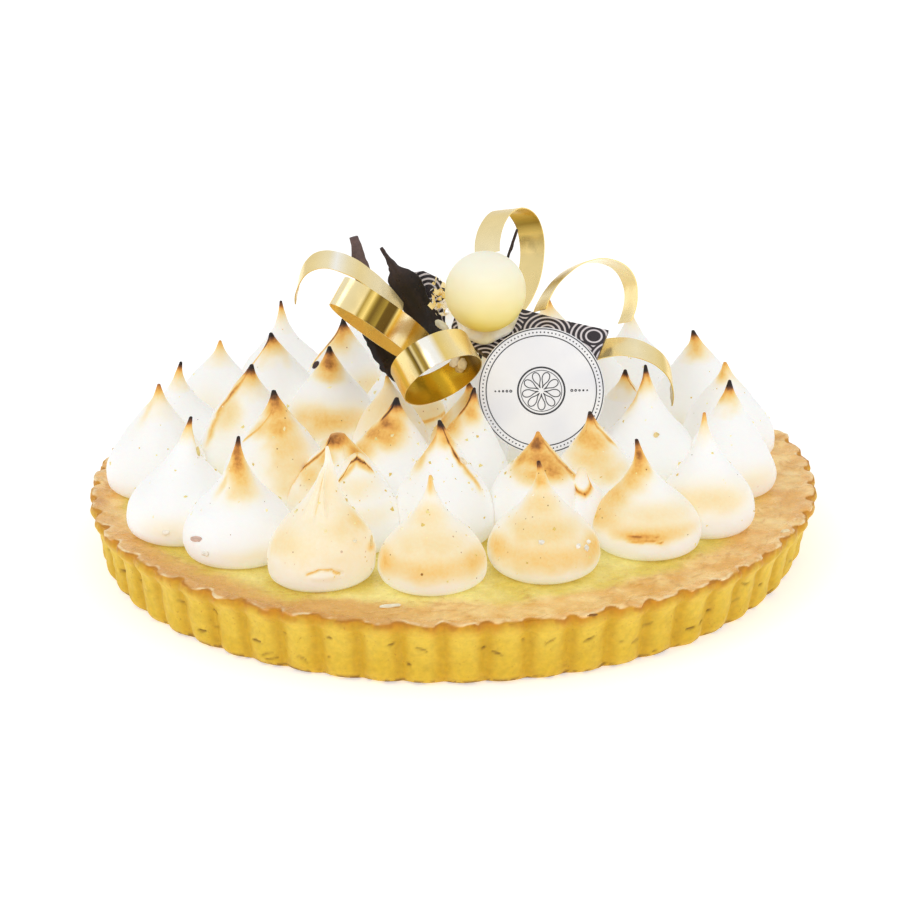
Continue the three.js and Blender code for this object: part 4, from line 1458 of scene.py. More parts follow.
@dataclass(frozen=True)
class Morsel:
    """A small loose piece: an uneven flattened body that lies against what carries it.

    Its half sizes run along, across and out of the skin, and the turn in degrees is about the
    outward direction. The perch is a kiss's name with a direction and a height share there, or a
    place in millimetres with the direction out of the skin.
    """

    perch: tuple[str, float, float] | tuple[Triple, Triple]
    size: Triple
    turn: float
    colour: Triple

    def surface(self, top: MeringueTop) -> Surface:
        """The piece as a dented ellipsoid, half pressed into the skin.

        Args:
            top: the kisses that may carry it.

        Returns:
            The closed surface.
        """
        middle, outward = top.spot(*self.perch) if len(self.perch) == 3 else map(np.array, self.perch)
        side = unit(np.cross([0.0, 0.0, 1.0] if abs(outward[2]) < 0.9 else [0.0, 1.0, 0.0], outward))
        up = np.cross(outward, side)
        turn = math.radians(self.turn)
        along = math.cos(turn) * side + math.sin(turn) * up
        across = math.cos(turn) * up - math.sin(turn) * side
        ball = globe(9, 18)
        dents = 1 + 0.3 * noise(ball * 3 + middle, 2.2, 77, 3)[..., None]
        frame_axes = np.stack([along * self.size[0], across * self.size[1], outward * self.size[2]])
        raised = middle + 0.3 * self.size[2] * outward
        points = raised + (ball * dents) @ frame_axes
        ends = raised + np.array([[0, 0, -0.9], [0, 0, 0.9]]) @ frame_axes
        shade = np.clip(0.5 + noise(ball * 4 + middle, 2.0, 78, 2), 0, 1)
        tint = linear(self.colour) * (0.8 + 0.2 * shade[..., None])
        return capped(points, *ends, {"tint": tint})


MORSELS = tuple(Morsel(*row) for row in (
    (("outer_07", -4, 0.4), (0.9, 0.8, 0.6), 0, (252, 247, 234)),
    (("outer_07", 39, 0.33), (1, 0.8, 0.7), 30, (252, 247, 234)),
    (("outer_07", 50, 0.29), (1.1, 0.8, 0.7), 60, (252, 247, 234)),
    (("outer_07", 58, 0.32), (0.9, 0.7, 0.6), 0, (252, 247, 234)),
    (("outer_04", -34, 0.14), (1.5, 0.9, 0.5), 10, (246, 240, 226)),
    (("outer_04", -48, 0.24), (2.4, 0.8, 0.4), 12, (216, 182, 164)),
    (("outer_03", -12, 0.15), (1.3, 0.8, 0.5), 0, (250, 244, 230)),
    (("outer_03", 76, 0.7), (1.5, 0.8, 0.6), 60, (236, 214, 140)),
    (("outer_05", 76, 0.3), (2, 0.4, 0.4), 40, (248, 222, 156)),
    (("outer_05", 46, 0.36), (0.7, 0.6, 0.5), 0, (250, 240, 210)),
    (("inner_05", -68, 0.59), (1.9, 1.3, 0.4), 30, (66, 40, 36)),
    (("inner_08", 60, 0.68), (1.9, 0.9, 0.5), -55, (252, 236, 204)),
    (("inner_12", 12, 0.5), (1, 0.8, 0.5), 0, (240, 214, 150)),
    (((1.4, 5.2, 59.4), (-0.62, -0.75, 0.22)), (2.3, 1.7, 1.5), 40, (248, 232, 194)),
    (((3.6, 4, 58.9), (-0.62, -0.75, 0.22)), (1.9, 1.5, 1.4), 80, (240, 218, 164)),
    (((2.6, 4.6, 57.2), (-0.62, -0.75, 0.22)), (1.7, 1.2, 1.2), 10, (216, 184, 120)),
    (((-3.3, -2, 74.6), (0, -0.9, 0.4)), (2.7, 1.2, 1.1), -42, (226, 220, 192)),
    (((-19.2, -104, 20.9), (0, 0, 1)), (3.2, 0.8, 0.5), 5, (255, 248, 220)),
    (((104.4, -50.9, 21), (0, 0, 1)), (1.8, 1.2, 0.6), 50, (246, 226, 178)),
    (((40.6, -112.6, 21.1), (0, 0, 1)), (1.8, 0.55, 0.3), 10, (140, 92, 28)),
))


@dataclass
class Sprinkles:
    """Crumbs, dark vanilla grains, sugar beads and small morsels on the kisses.

    Most of them lie round the front, and a heap of crumbs lies at the back of the crown.
    """

    top: MeringueTop
    crumbs: int = 3400
    heap: int = 2200
    heap_middle: Pair = (-29.0, 42.0)
    heap_spread: float = 9.0
    vanilla_grains: int = 1500
    sugar_beads: int = 160
    crumb_shades: tuple[Triple, ...] = ((236, 220, 146), (246, 232, 176), (222, 194, 104), (250, 240, 206))
    vanilla_shades: tuple[Triple, ...] = ((96, 70, 30), (140, 104, 44), (70, 56, 34))
    sugar_shades: tuple[Triple, ...] = ((250, 244, 226), (246, 232, 190))

    def make(self) -> None:
        """Builds one piece for each kind."""
        top = self.top
        matt = TintedFinish("crumb", roughness=0.7, relief=((0.5, 0.05),))
        crowd = top.landing(self.crumbs, seed=5)
        heap = top.landing(self.heap, 9, self.heap_middle, self.heap_spread, far=0.0)
        Scatter("crumbs_pale", 0.3, 1.1, 0.6, self.crumb_shades, matt, "crust", 21).make(
            *(np.concatenate(pair) for pair in zip(crowd, heap)))
        dark = TintedFinish("vanilla_grain", roughness=0.6, relief=((0.5, 0.05),))
        Scatter("grains_dark", 0.12, 0.34, 0.7, self.vanilla_shades, dark, "toasted_meringue", 22).make(
            *top.landing(self.vanilla_grains, seed=6))
        sugar = TintedFinish("sugar_bead", roughness=0.2, coat=0.5, relief=((0.8, 0.05),))
        Scatter("sugar_beads", 0.3, 0.7, 0.55, self.sugar_shades, sugar, "meringue", 23).make(
            *top.landing(self.sugar_beads, seed=7))
        joined([morsel.surface(top) for morsel in MORSELS]).build("loose_morsels", matt.material(), "crust")


# ---- gold ribbons and leaf


class Gold(Enum):
    """Painted reflections on a bright ribbon: what it mirrors, as display colours."""

    WHITE = (255, 252, 242)
    CREAM = (249, 234, 190)
    PALE = (244, 221, 156)
    GOLD = (236, 206, 118)
    AMBER = (228, 176, 52)
    OCHRE = (206, 164, 36)
    OLIVE = (158, 130, 48)
    BROWN = (98, 73, 18)


WHITE, CREAM, PALE, GOLD, AMBER, OCHRE, OLIVE, BROWN = Gold
Band = tuple[float, Gold]


@dataclass
class RibbonCurl:
    """A gold strip wound on an elliptic helix.

    At the turn t the middle stands at centre + first a g cos t + second b g sin t + axis p (t - t0),
    with g = 1 + growth (t - t0). The width lies along the axis. Bands paint what each face mirrors
    along the strip, as painted reflections and highlights in the colour.
    """

    name: str
    centre: Triple
    axis: Triple
    start: Triple
    half_axes: Pair
    outer: tuple[Band, ...]
    inner: tuple[Band, ...]
    begin: float = 0.0
    end: float = 360.0
    pitch: float = 0.0
    growth: float = 0.0
    closed: bool = False
    width: float = 10.0
    thickness: float = 0.36
    stations: int = 220
    across: int = 8

    def midline(self) -> tuple[Array, Array, Array, Array]:
        """Shares of the length, middle points, the outward direction there, and the width's direction.

        Returns:
            The three arrays by station, and the one direction.
        """
        axis = unit(np.array(self.axis))
        first = np.array(self.start)
        first = unit(first - first @ axis * axis)
        second = np.cross(axis, first)
        share = np.linspace(0, 1, self.stations, endpoint=not self.closed)
        t0 = math.radians(self.begin)
        t = t0 + share * (math.radians(self.end) - t0)
        grow = 1 + self.growth * (t - t0)
        a, b = self.half_axes
        points = (np.array(self.centre) + np.outer(a * grow * np.cos(t), first)
                  + np.outer(b * grow * np.sin(t), second) + np.outer(self.pitch * (t - t0), axis))
        through = unit(np.outer(b * np.cos(t), first) + np.outer(a * np.sin(t), second))
        return share, points, through, axis

    def make(self, material: Material) -> Piece:
        """Builds the strip: a thin closed section carried along the midline.

        Args:
            material: the foil.

        Returns:
            The new piece.
        """
        share, middle, through, axis = self.midline()
        side = np.linspace(-1, 1, self.across)
        section = np.stack([np.append(side, side[::-1]), np.repeat([1.0, -1.0], self.across)], axis=1)
        half = 0.5 * self.width * (1 + 0.012 * np.sin(23 * share))
        points = (middle[:, None] + axis * section[None, :, :1] * half[:, None, None]
                  + through[:, None] * section[None, :, 1:] * 0.5 * self.thickness)
        seed = name_seed(self.name)
        dent = 0.22 * noise(middle[:, None] + axis * section[None, :, :1] * 5, 7.0, seed)
        points = points + through[:, None] * dent[..., None]
        # The tint is painted reflection: what each face mirrors along the strip.
        tint = np.where((section[:, 1] > 0)[None, :, None], self._painted_reflections(self.outer, share)[:, None],
                        self._painted_reflections(self.inner, share)[:, None])
        if self.closed:
            surface = Surface(points.reshape(-1, 3), [ring_quads(*points.shape[:2], closed=True)],
                              {"tint": tint.reshape(-1, 3)}).turned_out()
        else:
            surface = capped(points, middle[0], middle[-1], {"tint": tint})
        return surface.build(self.name + "_foil", material, "gold_ribbon", self.name, 50.0)

    @staticmethod
    def _painted_reflections(bands: tuple[Band, ...], share: Array) -> Array:
        """Painted reflection colours along the strip, blended between the bands."""
        return blended(tuple((place, tone.value) for place, tone in bands), share)


def plain(*tones: Gold) -> tuple[Band, ...]:
    """Bands spread evenly along a strip."""
    return tuple(zip(np.linspace(0, 1, len(tones)).tolist(), tones))


RIBBONS = (
    RibbonCurl("ribbon_arch_left", (-32.4, 14.2, 59.9), (0.093, 0.947, 0.306), (0.921, -0.199, 0.336),
        (14.8, 33), begin=237, end=350, pitch=1.7, growth=0.203, outer=((0, OLIVE), (0.1, PALE),
        (0.22, GOLD), (0.36, PALE), (0.5, CREAM), (0.56, WHITE), (0.64, CREAM), (0.72, PALE), (0.86, CREAM),
        (1, PALE)), inner=plain(OCHRE, GOLD, AMBER)),
    RibbonCurl("ribbon_loop_left", (-23, -4, 77), (0.48, 0.48, 0.73), (-0.66, -0.34, 0.66), (19, 8.2),
        closed=True, outer=((0, CREAM), (0.125, PALE), (0.135, OLIVE), (0.155, GOLD), (0.165, OLIVE),
        (0.175, BROWN), (0.2, OLIVE), (0.205, BROWN), (0.235, BROWN), (0.24, GOLD), (0.25, AMBER),
        (0.275, CREAM), (0.305, PALE), (0.315, AMBER), (0.36, GOLD), (0.39, OLIVE), (0.42, OCHRE),
        (0.5, GOLD), (0.8, PALE), (1, CREAM)), inner=((0, GOLD), (0.46, GOLD), (0.9, GOLD), (1, OCHRE))),
    RibbonCurl("ribbon_loop_front", (-5, -9, 62.6), (-0.45, 0.57, 0.69), (-0.19, -0.82, 0.55), (17.8, 13.7),
        closed=True, outer=((0, WHITE), (0.035, WHITE), (0.06, GOLD), (0.1, PALE), (0.14, CREAM),
        (0.2, PALE), (0.25, GOLD), (0.5, GOLD), (0.78, OCHRE), (0.85, AMBER), (0.865, OCHRE), (0.88, AMBER),
        (0.89, PALE), (0.935, PALE), (0.945, OLIVE), (0.955, BROWN), (0.963, PALE), (0.972, OLIVE),
        (0.985, BROWN), (0.994, PALE), (1, WHITE)), inner=((0, AMBER), (0.28, OLIVE), (0.36, BROWN),
        (0.44, OCHRE), (0.6, OCHRE), (0.75, OCHRE), (1, AMBER))),
    RibbonCurl("ribbon_loop_top", (11.1, 28.7, 85.5), (0.8, -0.54, 0.24), (0.49, 0.84, 0.24), (28.1, 21.4),
        begin=-443, end=-228, pitch=3.3, growth=-0.1, outer=plain(GOLD, PALE, PALE, GOLD, PALE, CREAM),
        inner=((0, PALE), (0.25, PALE), (0.36, GOLD), (0.42, OLIVE), (0.5, OCHRE), (0.6, GOLD), (1, GOLD))),
    RibbonCurl("ribbon_arch_right", (44.5, 17.1, 72.6), (-0.358, 0.849, -0.388), (0.673, 0.523, 0.524),
        (20, 13.9), begin=233, end=425, pitch=0.56, outer=((0, OCHRE), (0.08, PALE), (0.18, OLIVE),
        (0.3, GOLD), (1, GOLD)), inner=((0, GOLD), (0.35, CREAM), (0.55, CREAM), (0.75, PALE), (1, PALE))),
    RibbonCurl("ribbon_curl_right", (54.3, 9.9, 49.4), (0.013, 0.958, 0.286), (0.077, 0.285, -0.956),
        (14.8, 16), begin=160, end=290, pitch=-0.58, growth=0.086, outer=((0, GOLD), (0.12, PALE),
        (0.35, CREAM), (0.52, PALE), (0.62, GOLD), (1, GOLD)), inner=plain(GOLD, GOLD, OCHRE, OLIVE)),
)


@dataclass
class GoldLeaf:
    """Torn gold leaf, piled as a bell round a middle on the printed pieces to the left of the ball."""

    count: int = 110
    middle: Triple = (-2.4, 9.0, 80.4)
    spread: Triple = (2.1, 2.4, 3.6)
    facing: Triple = (0.0, -0.8, 0.6)
    # Painted reflections: each flake takes one of the ribbons' mirrored colours, from gold to white.
    tones: tuple[Gold, ...] = (GOLD, PALE, CREAM, WHITE)
    seed: int = 31

    def make(self) -> Piece:
        """Builds the flakes, which mostly face the front and up.

        Returns:
            The new piece.
        """
        chance = np.random.default_rng(self.seed)
        places = np.array(self.middle) + chance.normal(size=(self.count, 3)) * self.spread
        outward = unit(chance.normal(size=(self.count, 3)) + self.facing)
        leaf = TintedFinish("torn_gold_leaf", roughness=0.35, metallic=0.1, relief=((0.8, 0.08),))
        shades = tuple(tone.value for tone in self.tones)
        pile = Scatter("gold_leaf", 0.5, 1.8, 0.16, shades, leaf, "gold_ribbon", 32)
        return pile.make(places, outward)


# ---- chocolate


@dataclass
class ChocolateBlade:
    """A thin brushed chocolate feather along a bowed midline, ragged at its sides.

    The midline is the quadratic curve from foot to tip that passes the belly at its middle. The
    section is a flat lens whose half-width is read along the midline.
    """

    name: str
    foot: Triple
    belly: Triple
    tip: Triple
    facing: Triple
    thickness: float
    half_widths: Pairs
    dust: float = 0.0
    stations: int = 120
    columns: int = 28
    shades: Shades = ((18, 12, 10), (42, 29, 24))
    bloom: Triple = (104, 84, 82)

    def make(self, material: Material) -> Piece:
        """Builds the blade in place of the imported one.

        Args:
            material: the chocolate.

        Returns:
            The new piece.
        """
        share = np.linspace(0, 1, self.stations)[:, None]
        foot, belly, tip = (np.array(p) for p in (self.foot, self.belly, self.tip))
        control = 2 * belly - 0.5 * (foot + tip)
        middle = foot * (1 - share) ** 2 + control * 2 * share * (1 - share) + tip * share**2
        along = unit(2 * (1 - share) * (control - foot) + 2 * share * (tip - control))
        across = unit(np.cross(along, np.array(self.facing)))
        through = unit(np.cross(across, along))
        turn = turns(self.columns)
        half = curve_through(self.half_widths, share)
        seed = name_seed(self.name)
        strands = np.broadcast_arrays(8 * np.sign(np.cos(turn)), share * 60, 0.0)
        strand = noise(np.stack(strands, -1), 3.0, seed)
        wide = np.cos(turn) * (half + 0.35 * strand * np.minimum(half, 1.5))
        deep = np.sign(np.sin(turn)) * np.abs(np.sin(turn)) ** 0.6 * 0.5 * self.thickness
        points = middle[:, None] + across[:, None] * wide[..., None] + through[:, None] * deep[..., None]
        ridge = noise(np.stack([wide * 4, share * 12 + 0 * wide, 0 * wide], -1), 3.0, seed + 4)
        points = points + through[:, None] * (0.22 * ridge * np.sign(np.sin(turn) + 1e-9))[..., None]
        tint = between(self.shades, 0.35 + 0.5 * ridge)
        tint = washed(tint, self.bloom, self.dust * smoothstep(0.6, 0.85, share) + 0 * wide)
        surface = capped(points, middle[0], middle[-1], {"tint": tint})
        return surface.build(self.name + "_brushed", material, "dark_chocolate", self.name)


BLADES = (
    ChocolateBlade("chocolate_feather", (-14, 6, 50), (-24, 13, 68), (-31.3, 16, 99.5), (0.35, -0.9, 0.2),
        1.4, ((0, 0.8), (0.15, 3.2), (0.35, 5.2), (0.6, 5), (0.8, 3), (0.93, 1.9), (1, 1.5)), dust=0.8),
    ChocolateBlade("chocolate_leaf", (-1.7, 20.5, 57.2), (-12.3, 21.5, 75.4), (-22.9, 22.5, 93.6),
        (0.05, -1, 0.05), 1.8, ((0, 3.4), (0.18, 4.6), (0.3, 5.1), (0.5, 5), (0.69, 5.1), (0.81, 2),
        (0.9, 0.9), (1, 0.5)), dust=0.25),
    ChocolateBlade("chocolate_stick", (9, 22, 54), (15.5, 24.2, 77), (22, 26.5, 98.2), (0, -1, 0.2), 0.9,
        ((0, 0.7), (1, 0.5)), dust=0.2),
)


@dataclass
class PrintedPlate:
    """A flat chocolate slab with a cut outline in its own u and v and a printed face.

    u runs along +X and v up the slope. The outline is doubled by a slightly smaller one on each
    face, which makes the worn edge.
    """

    name: str
    outline: Pairs
    thickness: float
    origin: Triple
    rise: float
    discs: Pairs
    edge: float = 0.22

    def make(self) -> Piece:
        """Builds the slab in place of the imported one.

        Returns:
            The new piece.
        """
        tilt = math.radians(self.rise)
        v_axis = np.array([0, math.cos(tilt), math.sin(tilt)])
        normal = np.cross([1.0, 0, 0], v_axis)
        flat = np.array(self.outline, float)
        count = len(flat)
        ahead, behind = unit(np.roll(flat, -1, 0) - flat), unit(flat - np.roll(flat, 1, 0))
        inward = unit(np.stack([-(ahead + behind)[:, 1], (ahead + behind)[:, 0]], axis=1))
        small = flat + inward * self.edge
        rings = ((small, 0.0), (flat, -self.edge), (flat, self.edge - self.thickness),
                 (small, -self.thickness))
        points = np.concatenate([np.array(self.origin) + np.outer(ring[:, 0], [1, 0, 0])
                                 + np.outer(ring[:, 1], v_axis) + normal * depth for ring, depth in rings])
        side = np.concatenate([np.zeros(count), np.full(3 * count, 0.9)])
        caps = [np.arange(count)[None, ::-1], np.arange(count)[None] + 3 * count]
        surface = Surface(points, [ring_quads(len(rings), count), *caps], {"side": side},
                          np.concatenate([ring for ring, _ in rings]) / PRINT_SCALE).turned_out()
        finish = PrintedFinish("transfer_" + self.name, self.discs)
        material = finish.material()
        return surface.build(self.name + "_transfer", material, "printed_chocolate", self.name, 30.0)


PLATES = (
    PrintedPlate("printed_plate", ((13, 0), (47.4, 0), (51.6, 11.5), (37, 16), (23.5, 21), (14, 26),
        (3, 25), (0, 14), (6, 6)), 2, (0, -3, 63.3), 32, ((10.5, 21.5), (24.5, 21.2), (38.5, 21),
        (4.2, 10.8), (17.6, 10.4), (31.4, 11.2), (46.6, 8.9), (10.8, 0.2), (24.6, 0), (39, -0.6),
        (53, -1.2))),
    PrintedPlate("printed_plate_back", ((-2, 0), (11.5, 0), (12, 14.8), (9.8, 17.6), (4.5, 20.2),
        (0, 19.5)), 1.6, (-13.7, 27, 62.9), 78, ((-1, 20), (12.5, 20.5), (6.2, 13.4), (-2, 5), (13, 4.5))),
)


# ---- ball and plaque


@dataclass
class WhiteBall:
    """A hollow white chocolate ball on its dab, with painted light and shade: ivory above and butter yellow
    below.
    """

    radius: float = 13.2
    centre: Triple = (11.2, 2.5, 84.5)
    tilt: float = 32.0
    seat_gap: float = 0.45
    seat_thinnest: float = 0.7
    shades: Stops = ((-1.0, (222, 190, 70)), (-0.72, (233, 208, 98)), (-0.35, (242, 226, 150)),
                     (0.2, (246, 236, 190)), (0.8, (250, 246, 224)))
    seat_shades: Shades = ((236, 226, 190), (250, 246, 234))

    def tint(self, points: Array) -> Array:
        """Colour by height on the ball, with faint level streaks.

        Args:
            points: places in millimetres.

        Returns:
            A linear colour for each point.
        """
        # Painted light and shade: the colour runs by height from butter yellow below to ivory on top.
        level = (points[..., 2] - self.centre[2]) / self.radius
        stray = 0.06 * noise(points * [0.3, 0.3, 2.0], 4.0, 5)
        return blended(self.shades, level + stray)

    def make(self) -> Piece:
        """Builds the ball: a sphere with slow swells.

        Returns:
            The new piece.
        """
        outward = globe(72, 120)
        swell = self.radius * (1 + 0.004 * noise(outward * 20, 9.0, 3))
        points = np.array(self.centre) + outward * swell[..., None]
        poles = np.array(self.centre) + np.array([[0, 0, -self.radius], [0, 0, self.radius]])
        surface = capped(points, *poles, {"tint": self.tint(points)})
        finish = TintedFinish("white_chocolate", roughness=0.42, gloss_spread=0.06, specular=0.4,
                              subsurface=0.15, mottle_size=9.0, mottle=0.02,
                              relief=((6.0, 0.06), (0.8, 0.01)))
        return surface.build("white_ball_moulded", finish.material(), "white_chocolate", "white_ball")

    def make_seat(self) -> Piece:
        """Builds the dab under the ball: a profile turned round the plate's normal, spread unevenly.

        Returns:
            The new piece.
        """
        rise = self.seat_gap + self.seat_thinnest
        profile = [(10.0, self.seat_gap), (10.4, 1.2), (9.9, 2.1), (8.7, 2.6)]
        profile += [(r, rise + self.radius - math.sqrt(self.radius**2 - r**2)) for r in (7.5, 6.0, 4.0, 2.0)]
        reach, height = np.array(profile).T[:, :, None]
        turn = turns(72)
        reach = reach * (1 + 0.05 * np.sin(3 * turn + 1) + 0.03 * np.sin(7 * turn))
        tilt = math.radians(self.tilt)
        normal = np.array([0, -math.sin(tilt), math.cos(tilt)])
        slope = np.array([0, math.cos(tilt), math.sin(tilt)])
        foot = np.array(self.centre) - normal * (self.radius + 2 * self.seat_gap + self.seat_thinnest)
        points = (foot + (reach * np.cos(turn))[..., None] * [1.0, 0, 0]
                  + (reach * np.sin(turn))[..., None] * slope + (height + 0 * turn)[..., None] * normal)
        tint = between(self.seat_shades, 0.5 + noise(points, 4.0, 2))
        surface = capped(points, foot + normal * self.seat_gap, foot + normal * rise, {"tint": tint})
        finish = TintedFinish("white_chocolate_dab", roughness=0.5, subsurface=0.1, relief=((2.0, 0.1),))
        return surface.build("ball_seat_dab", finish.material(), "white_chocolate", "ball_seat")


@dataclass
class Plaque:
    """A round white plaque that leans on the printed plate, with a border and a lemon slice.

    The print is thin raised ink: rings, a row of beads between them, and in the middle the
    wedges of a lemon slice between two lines of dots.
    """

    radius: float = 20.6
    thickness: float = 2.2
    centre: Triple = (28.9, -9.0, 54.1)
    lean_back: float = 21.2
    ink_height: float = 0.05
    rings: Pairs = ((20.1, 0.34), (17.9, 0.34))
    bead_radius: float = 19.0
    beads: int = 96
    slice_radius: float = 7.6
    wedges: int = 9
    shades: Shades = ((236, 236, 240), (246, 245, 244))
    ink: Triple = (52, 52, 56)

    def placed(self, across: Array, up: Array, out: Array) -> Array:
        """Points from the plaque's own across, up and out of its front face.

        Args:
            across: how far to the right.
            up: how far up the face.
            out: how far in front of the middle.

        Returns:
            Points in millimetres.
        """
        lean = math.radians(self.lean_back)
        up_axis = np.array([0, math.sin(lean), math.cos(lean)])
        front = np.array([0, -math.cos(lean), math.sin(lean)])
        return (np.array(self.centre) + across[..., None] * [1.0, 0, 0] + up[..., None] * up_axis
                + out[..., None] * front)

    def make(self) -> Piece:
        """Builds the disc: a profile with rounded rims turned round its middle.

        Returns:
            The new piece.
        """
        half, edge = 0.5 * self.thickness, 0.35
        inset = np.array([4, edge, 0.1, 0, 0, 0.1, edge, 1.5, 8, self.radius - 4.0])[:, None]
        out = np.array([-half, -half, 0.1 - half, edge - half, half - edge, half - 0.1, *[half] * 4])
        disc = around(self.radius - inset, turns(160), out[:, None] + 0 * turns(160))
        points = self.placed(*np.moveaxis(disc, -1, 0))
        tint = between(self.shades, 0.5 + noise(points, 12.0, 6))
        ends = self.placed(np.zeros(2), np.zeros(2), np.array([-half, half]))
        surface = capped(points, *ends, {"tint": tint})
        finish = TintedFinish("plaque_white", roughness=0.45, gloss_spread=0.05, mottle_size=12.0,
                              mottle=0.02, relief=((3.0, 0.02), (0.5, 0.008)))
        return surface.build("plaque_disc", finish.material(), "plaque", "plaque", 40.0)

    def _band(self, centre_line: Array, width: float) -> Surface:
        """A raised stroke of ink along a flat closed line: a low box section carried round it.

        Args:
            centre_line: the line's flat points.
            width: the stroke's width.

        Returns:
            The closed surface.
        """
        ahead = np.roll(centre_line, -1, 0) - np.roll(centre_line, 1, 0)
        side = unit(np.stack([-ahead[:, 1], ahead[:, 0]], axis=1)) * 0.5 * width
        base = 0.5 * self.thickness
        rows = [(1, base - 0.1), (1, base + self.ink_height), (-1, base + self.ink_height), (-1, base - 0.1)]
        sections = np.stack([np.concatenate([centre_line + s * side, np.full((len(side), 1), out)], axis=1)
                             for s, out in rows], axis=1)
        points = self.placed(*np.moveaxis(sections, -1, 0))
        return Surface(points.reshape(-1, 3), [ring_quads(len(points), 4, closed=True)]).turned_out()

    @staticmethod
    def _circle(radius: float, count: int, x: float = 0.0, y: float = 0.0) -> Array:
        """Points on a flat circle."""
        turn = turns(count)[0]
        return np.stack([x + radius * np.sin(turn), y + radius * np.cos(turn)], axis=1)

    def _wedge(self, index: int) -> Array:
        """The outline of one wedge of the slice: a sector with rounded corners, drawn in polar steps.

        Args:
            index: which wedge, clockwise.

        Returns:
            Flat points round the wedge.
        """
        middle = 2 * np.pi * (index + 0.5) / self.wedges
        half = np.pi / self.wedges - 0.07
        turn = turns(40)[0]
        reach = 3.6 + 2.6 * np.cos(turn)
        angle = middle + half * np.sin(turn) * smoothstep(0.0, 4.2, reach)
        return np.stack([reach * np.sin(angle), reach * np.cos(angle)], axis=1)

    def make_print(self) -> Piece:
        """Builds the ink: border rings, beads, the slice with its rind, and two rows of dots.

        Returns:
            The new piece.
        """
        strokes = [self._band(self._circle(radius, 200), width) for radius, width in self.rings]
        for place in self._circle(self.bead_radius, self.beads):
            strokes.append(self._band(self._circle(0.16, 8, *place), 0.2))
        strokes.append(self._band(self._circle(self.slice_radius, 120), 0.55))
        strokes.append(self._band(self._circle(self.slice_radius - 0.95, 120), 0.22))
        strokes += [self._band(self._wedge(index), 0.3) for index in range(self.wedges)]
        for side in (-1, 1):
            for step in range(5):
                reach, size = 9.9 + 1.25 * step, 0.34 - 0.05 * step
                strokes.append(self._band(self._circle(size, 12, side * reach), 0.3))
        surface = joined(strokes)
        surface.values["tint"] = np.tile(linear(self.ink), (len(surface.points), 1))
        finish = TintedFinish("plaque_ink", roughness=0.5, mottle=0.05, relief=((0.5, 0.005),))
        return surface.build("plaque_print", finish.material(), "plaque", smooth_angle=40.0)


# ---- studio


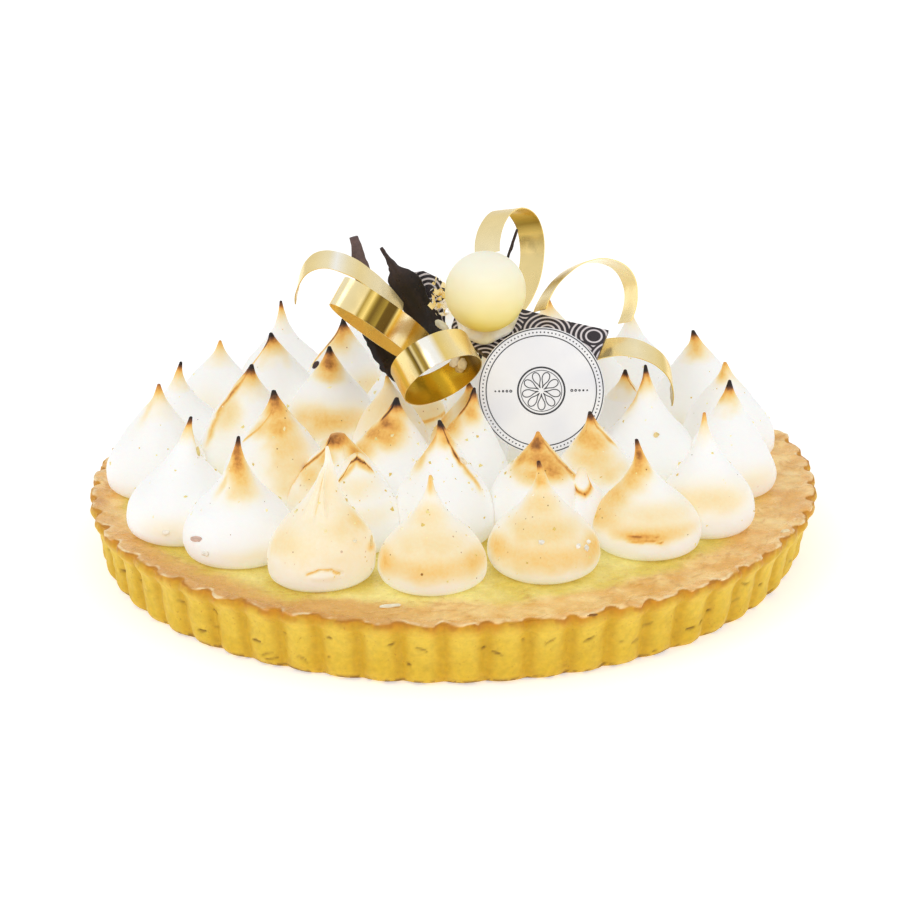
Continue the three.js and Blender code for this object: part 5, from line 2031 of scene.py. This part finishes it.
@dataclass
class Studio:
    """The camera, the pale floor and soft light.

    The camera looks at the aim from the front and above, turned a little about its own axis.
    """

    elevation: float = math.radians(21.196)
    distance: float = 931.757
    aim: Triple = (0.98, 0.0, 28.281)
    roll: float = math.radians(0.695)
    focal_pixels: float = 2814.505
    picture_pixels: float = 912.0
    sensor: float = 36.0
    floor_size: float = 4.0
    floor_gap: float = 0.0002
    floor_white: float = 0.82
    floor_glow: float = 0.6
    world_strength: float = 0.74
    lamps_aim: Triple = (0.0, 0.0, 0.04)
    key_place: Triple = (-0.9, -0.8, 1.3)
    key_size: float = 0.9
    key_power: float = 3.5
    fill_place: Triple = (1.2, -1.0, 0.7)
    fill_size: float = 1.2
    fill_power: float = 2.2

    @staticmethod
    def hung(name: str, data: bpy.types.ID, axes: Array, where: Array) -> Piece:
        """Puts a camera or a lamp in the scene, its own x, y and z along the columns of axes.

        Args:
            name: the object's name.
            data: the camera or the lamp.
            axes: a 3 by 3 array.
            where: its place in metres.

        Returns:
            The new object.
        """
        thing = shown(name, data)
        thing.matrix_world = Matrix([*np.column_stack([axes, where]).tolist(), [0, 0, 0, 1]])
        return thing

    def camera(self) -> None:
        """Sets the scene's camera: right is +X, and up is square to the way it looks."""
        back = np.array([0, -math.cos(self.elevation), math.sin(self.elevation)])
        right = np.array([1.0, 0, 0])
        up = np.cross(right, -back)
        c, s = math.cos(self.roll), math.sin(self.roll)
        axes = np.stack([c * right - s * up, s * right + c * up, back], axis=1)
        data = bpy.data.cameras.new("camera")
        data.sensor_width = self.sensor
        data.lens = self.sensor * self.focal_pixels / self.picture_pixels
        data.clip_start, data.clip_end = 0.05, 20.0
        where = MM * (np.array(self.aim) + back * self.distance)
        bpy.context.scene.camera = self.hung("camera", data, axes, where)

    def floor(self) -> None:
        """Lays a matt white floor under the pie."""
        half = 0.5 * self.floor_size
        mesh = bpy.data.meshes.new("floor")
        corners = [(x * half, y * half, 0) for x, y in ((-1, -1), (1, -1), (1, 1), (-1, 1))]
        mesh.from_pydata(corners, [], [(0, 1, 2, 3)])
        shader = Shader("pale_floor")
        shader.settle(Roughness=0.9, Specular_IOR_Level=0.1, Emission_Strength=self.floor_glow)
        for socket in ("Base Color", "Emission Color"):
            shader.surface.inputs[socket].default_value = (self.floor_white,) * 3 + (1.0,)
        mesh.materials.append(shader.material)
        floor = shown("floor", mesh)
        floor.location.z = -self.floor_gap

    def light(self, name: str, place: Triple, size: float, power: float) -> None:
        """Hangs a square soft box that looks at the pie.

        Args:
            name: the lamp's name.
            place: where it hangs, in metres.
            size: its side in metres.
            power: its strength in watts.
        """
        data = bpy.data.lights.new(name, "AREA")
        data.size, data.energy = size, power
        back = unit(np.array(place) - self.lamps_aim)
        right = unit(np.cross([0, 0, 1.0], back))
        self.hung(name, data, np.stack([right, np.cross(back, right), back], axis=1), np.array(place))

    def world(self) -> None:
        """Surrounds the pie with even white light and keeps colours as they are lit."""
        world = bpy.data.worlds.new("studio")
        world.use_nodes = True
        sky = world.node_tree.nodes["Background"].inputs
        sky["Color"].default_value, sky["Strength"].default_value = (1, 1, 1, 1), self.world_strength
        bpy.context.scene.world = world
        bpy.context.scene.view_settings.view_transform = "Standard"

    def make(self) -> None:
        """Sets up the whole studio."""
        self.camera()
        self.floor()
        self.light("key", self.key_place, self.key_size, self.key_power)
        self.light("fill", self.fill_place, self.fill_size, self.fill_power)
        self.world()


# ---- the whole pie


def main() -> None:
    """Builds every sub-assembly in order, then the studio."""
    logging.basicConfig(level=logging.INFO, format="%(message)s")
    glaze = TopGlaze()
    FlutedCrust(glaze).make()
    LemonCurd(glaze).make()
    top = MeringueTop()
    top.make()
    Sprinkles(top).make()
    foil = TintedFinish("gold_foil", roughness=0.24, gloss_spread=0.04, metallic=0.8, mottle_size=6.0,
                        mottle=0.03, relief=((7.0, 0.06),)).material()
    for curl in RIBBONS:
        curl.make(foil)
    cocoa = TintedFinish("dark_chocolate", roughness=0.34, gloss_spread=0.1, mottle_size=2.0, mottle=0.2,
                         specular=0.35, relief=((1.4, 0.08), (0.4, 0.02))).material()
    for blade in BLADES:
        blade.make(cocoa)
    for plate in PLATES:
        plate.make()
    ball = WhiteBall()
    ball.make()
    ball.make_seat()
    plaque = Plaque()
    plaque.make()
    plaque.make_print()
    GoldLeaf().make()
    Studio().make()


if __name__ == "__main__":
    main()
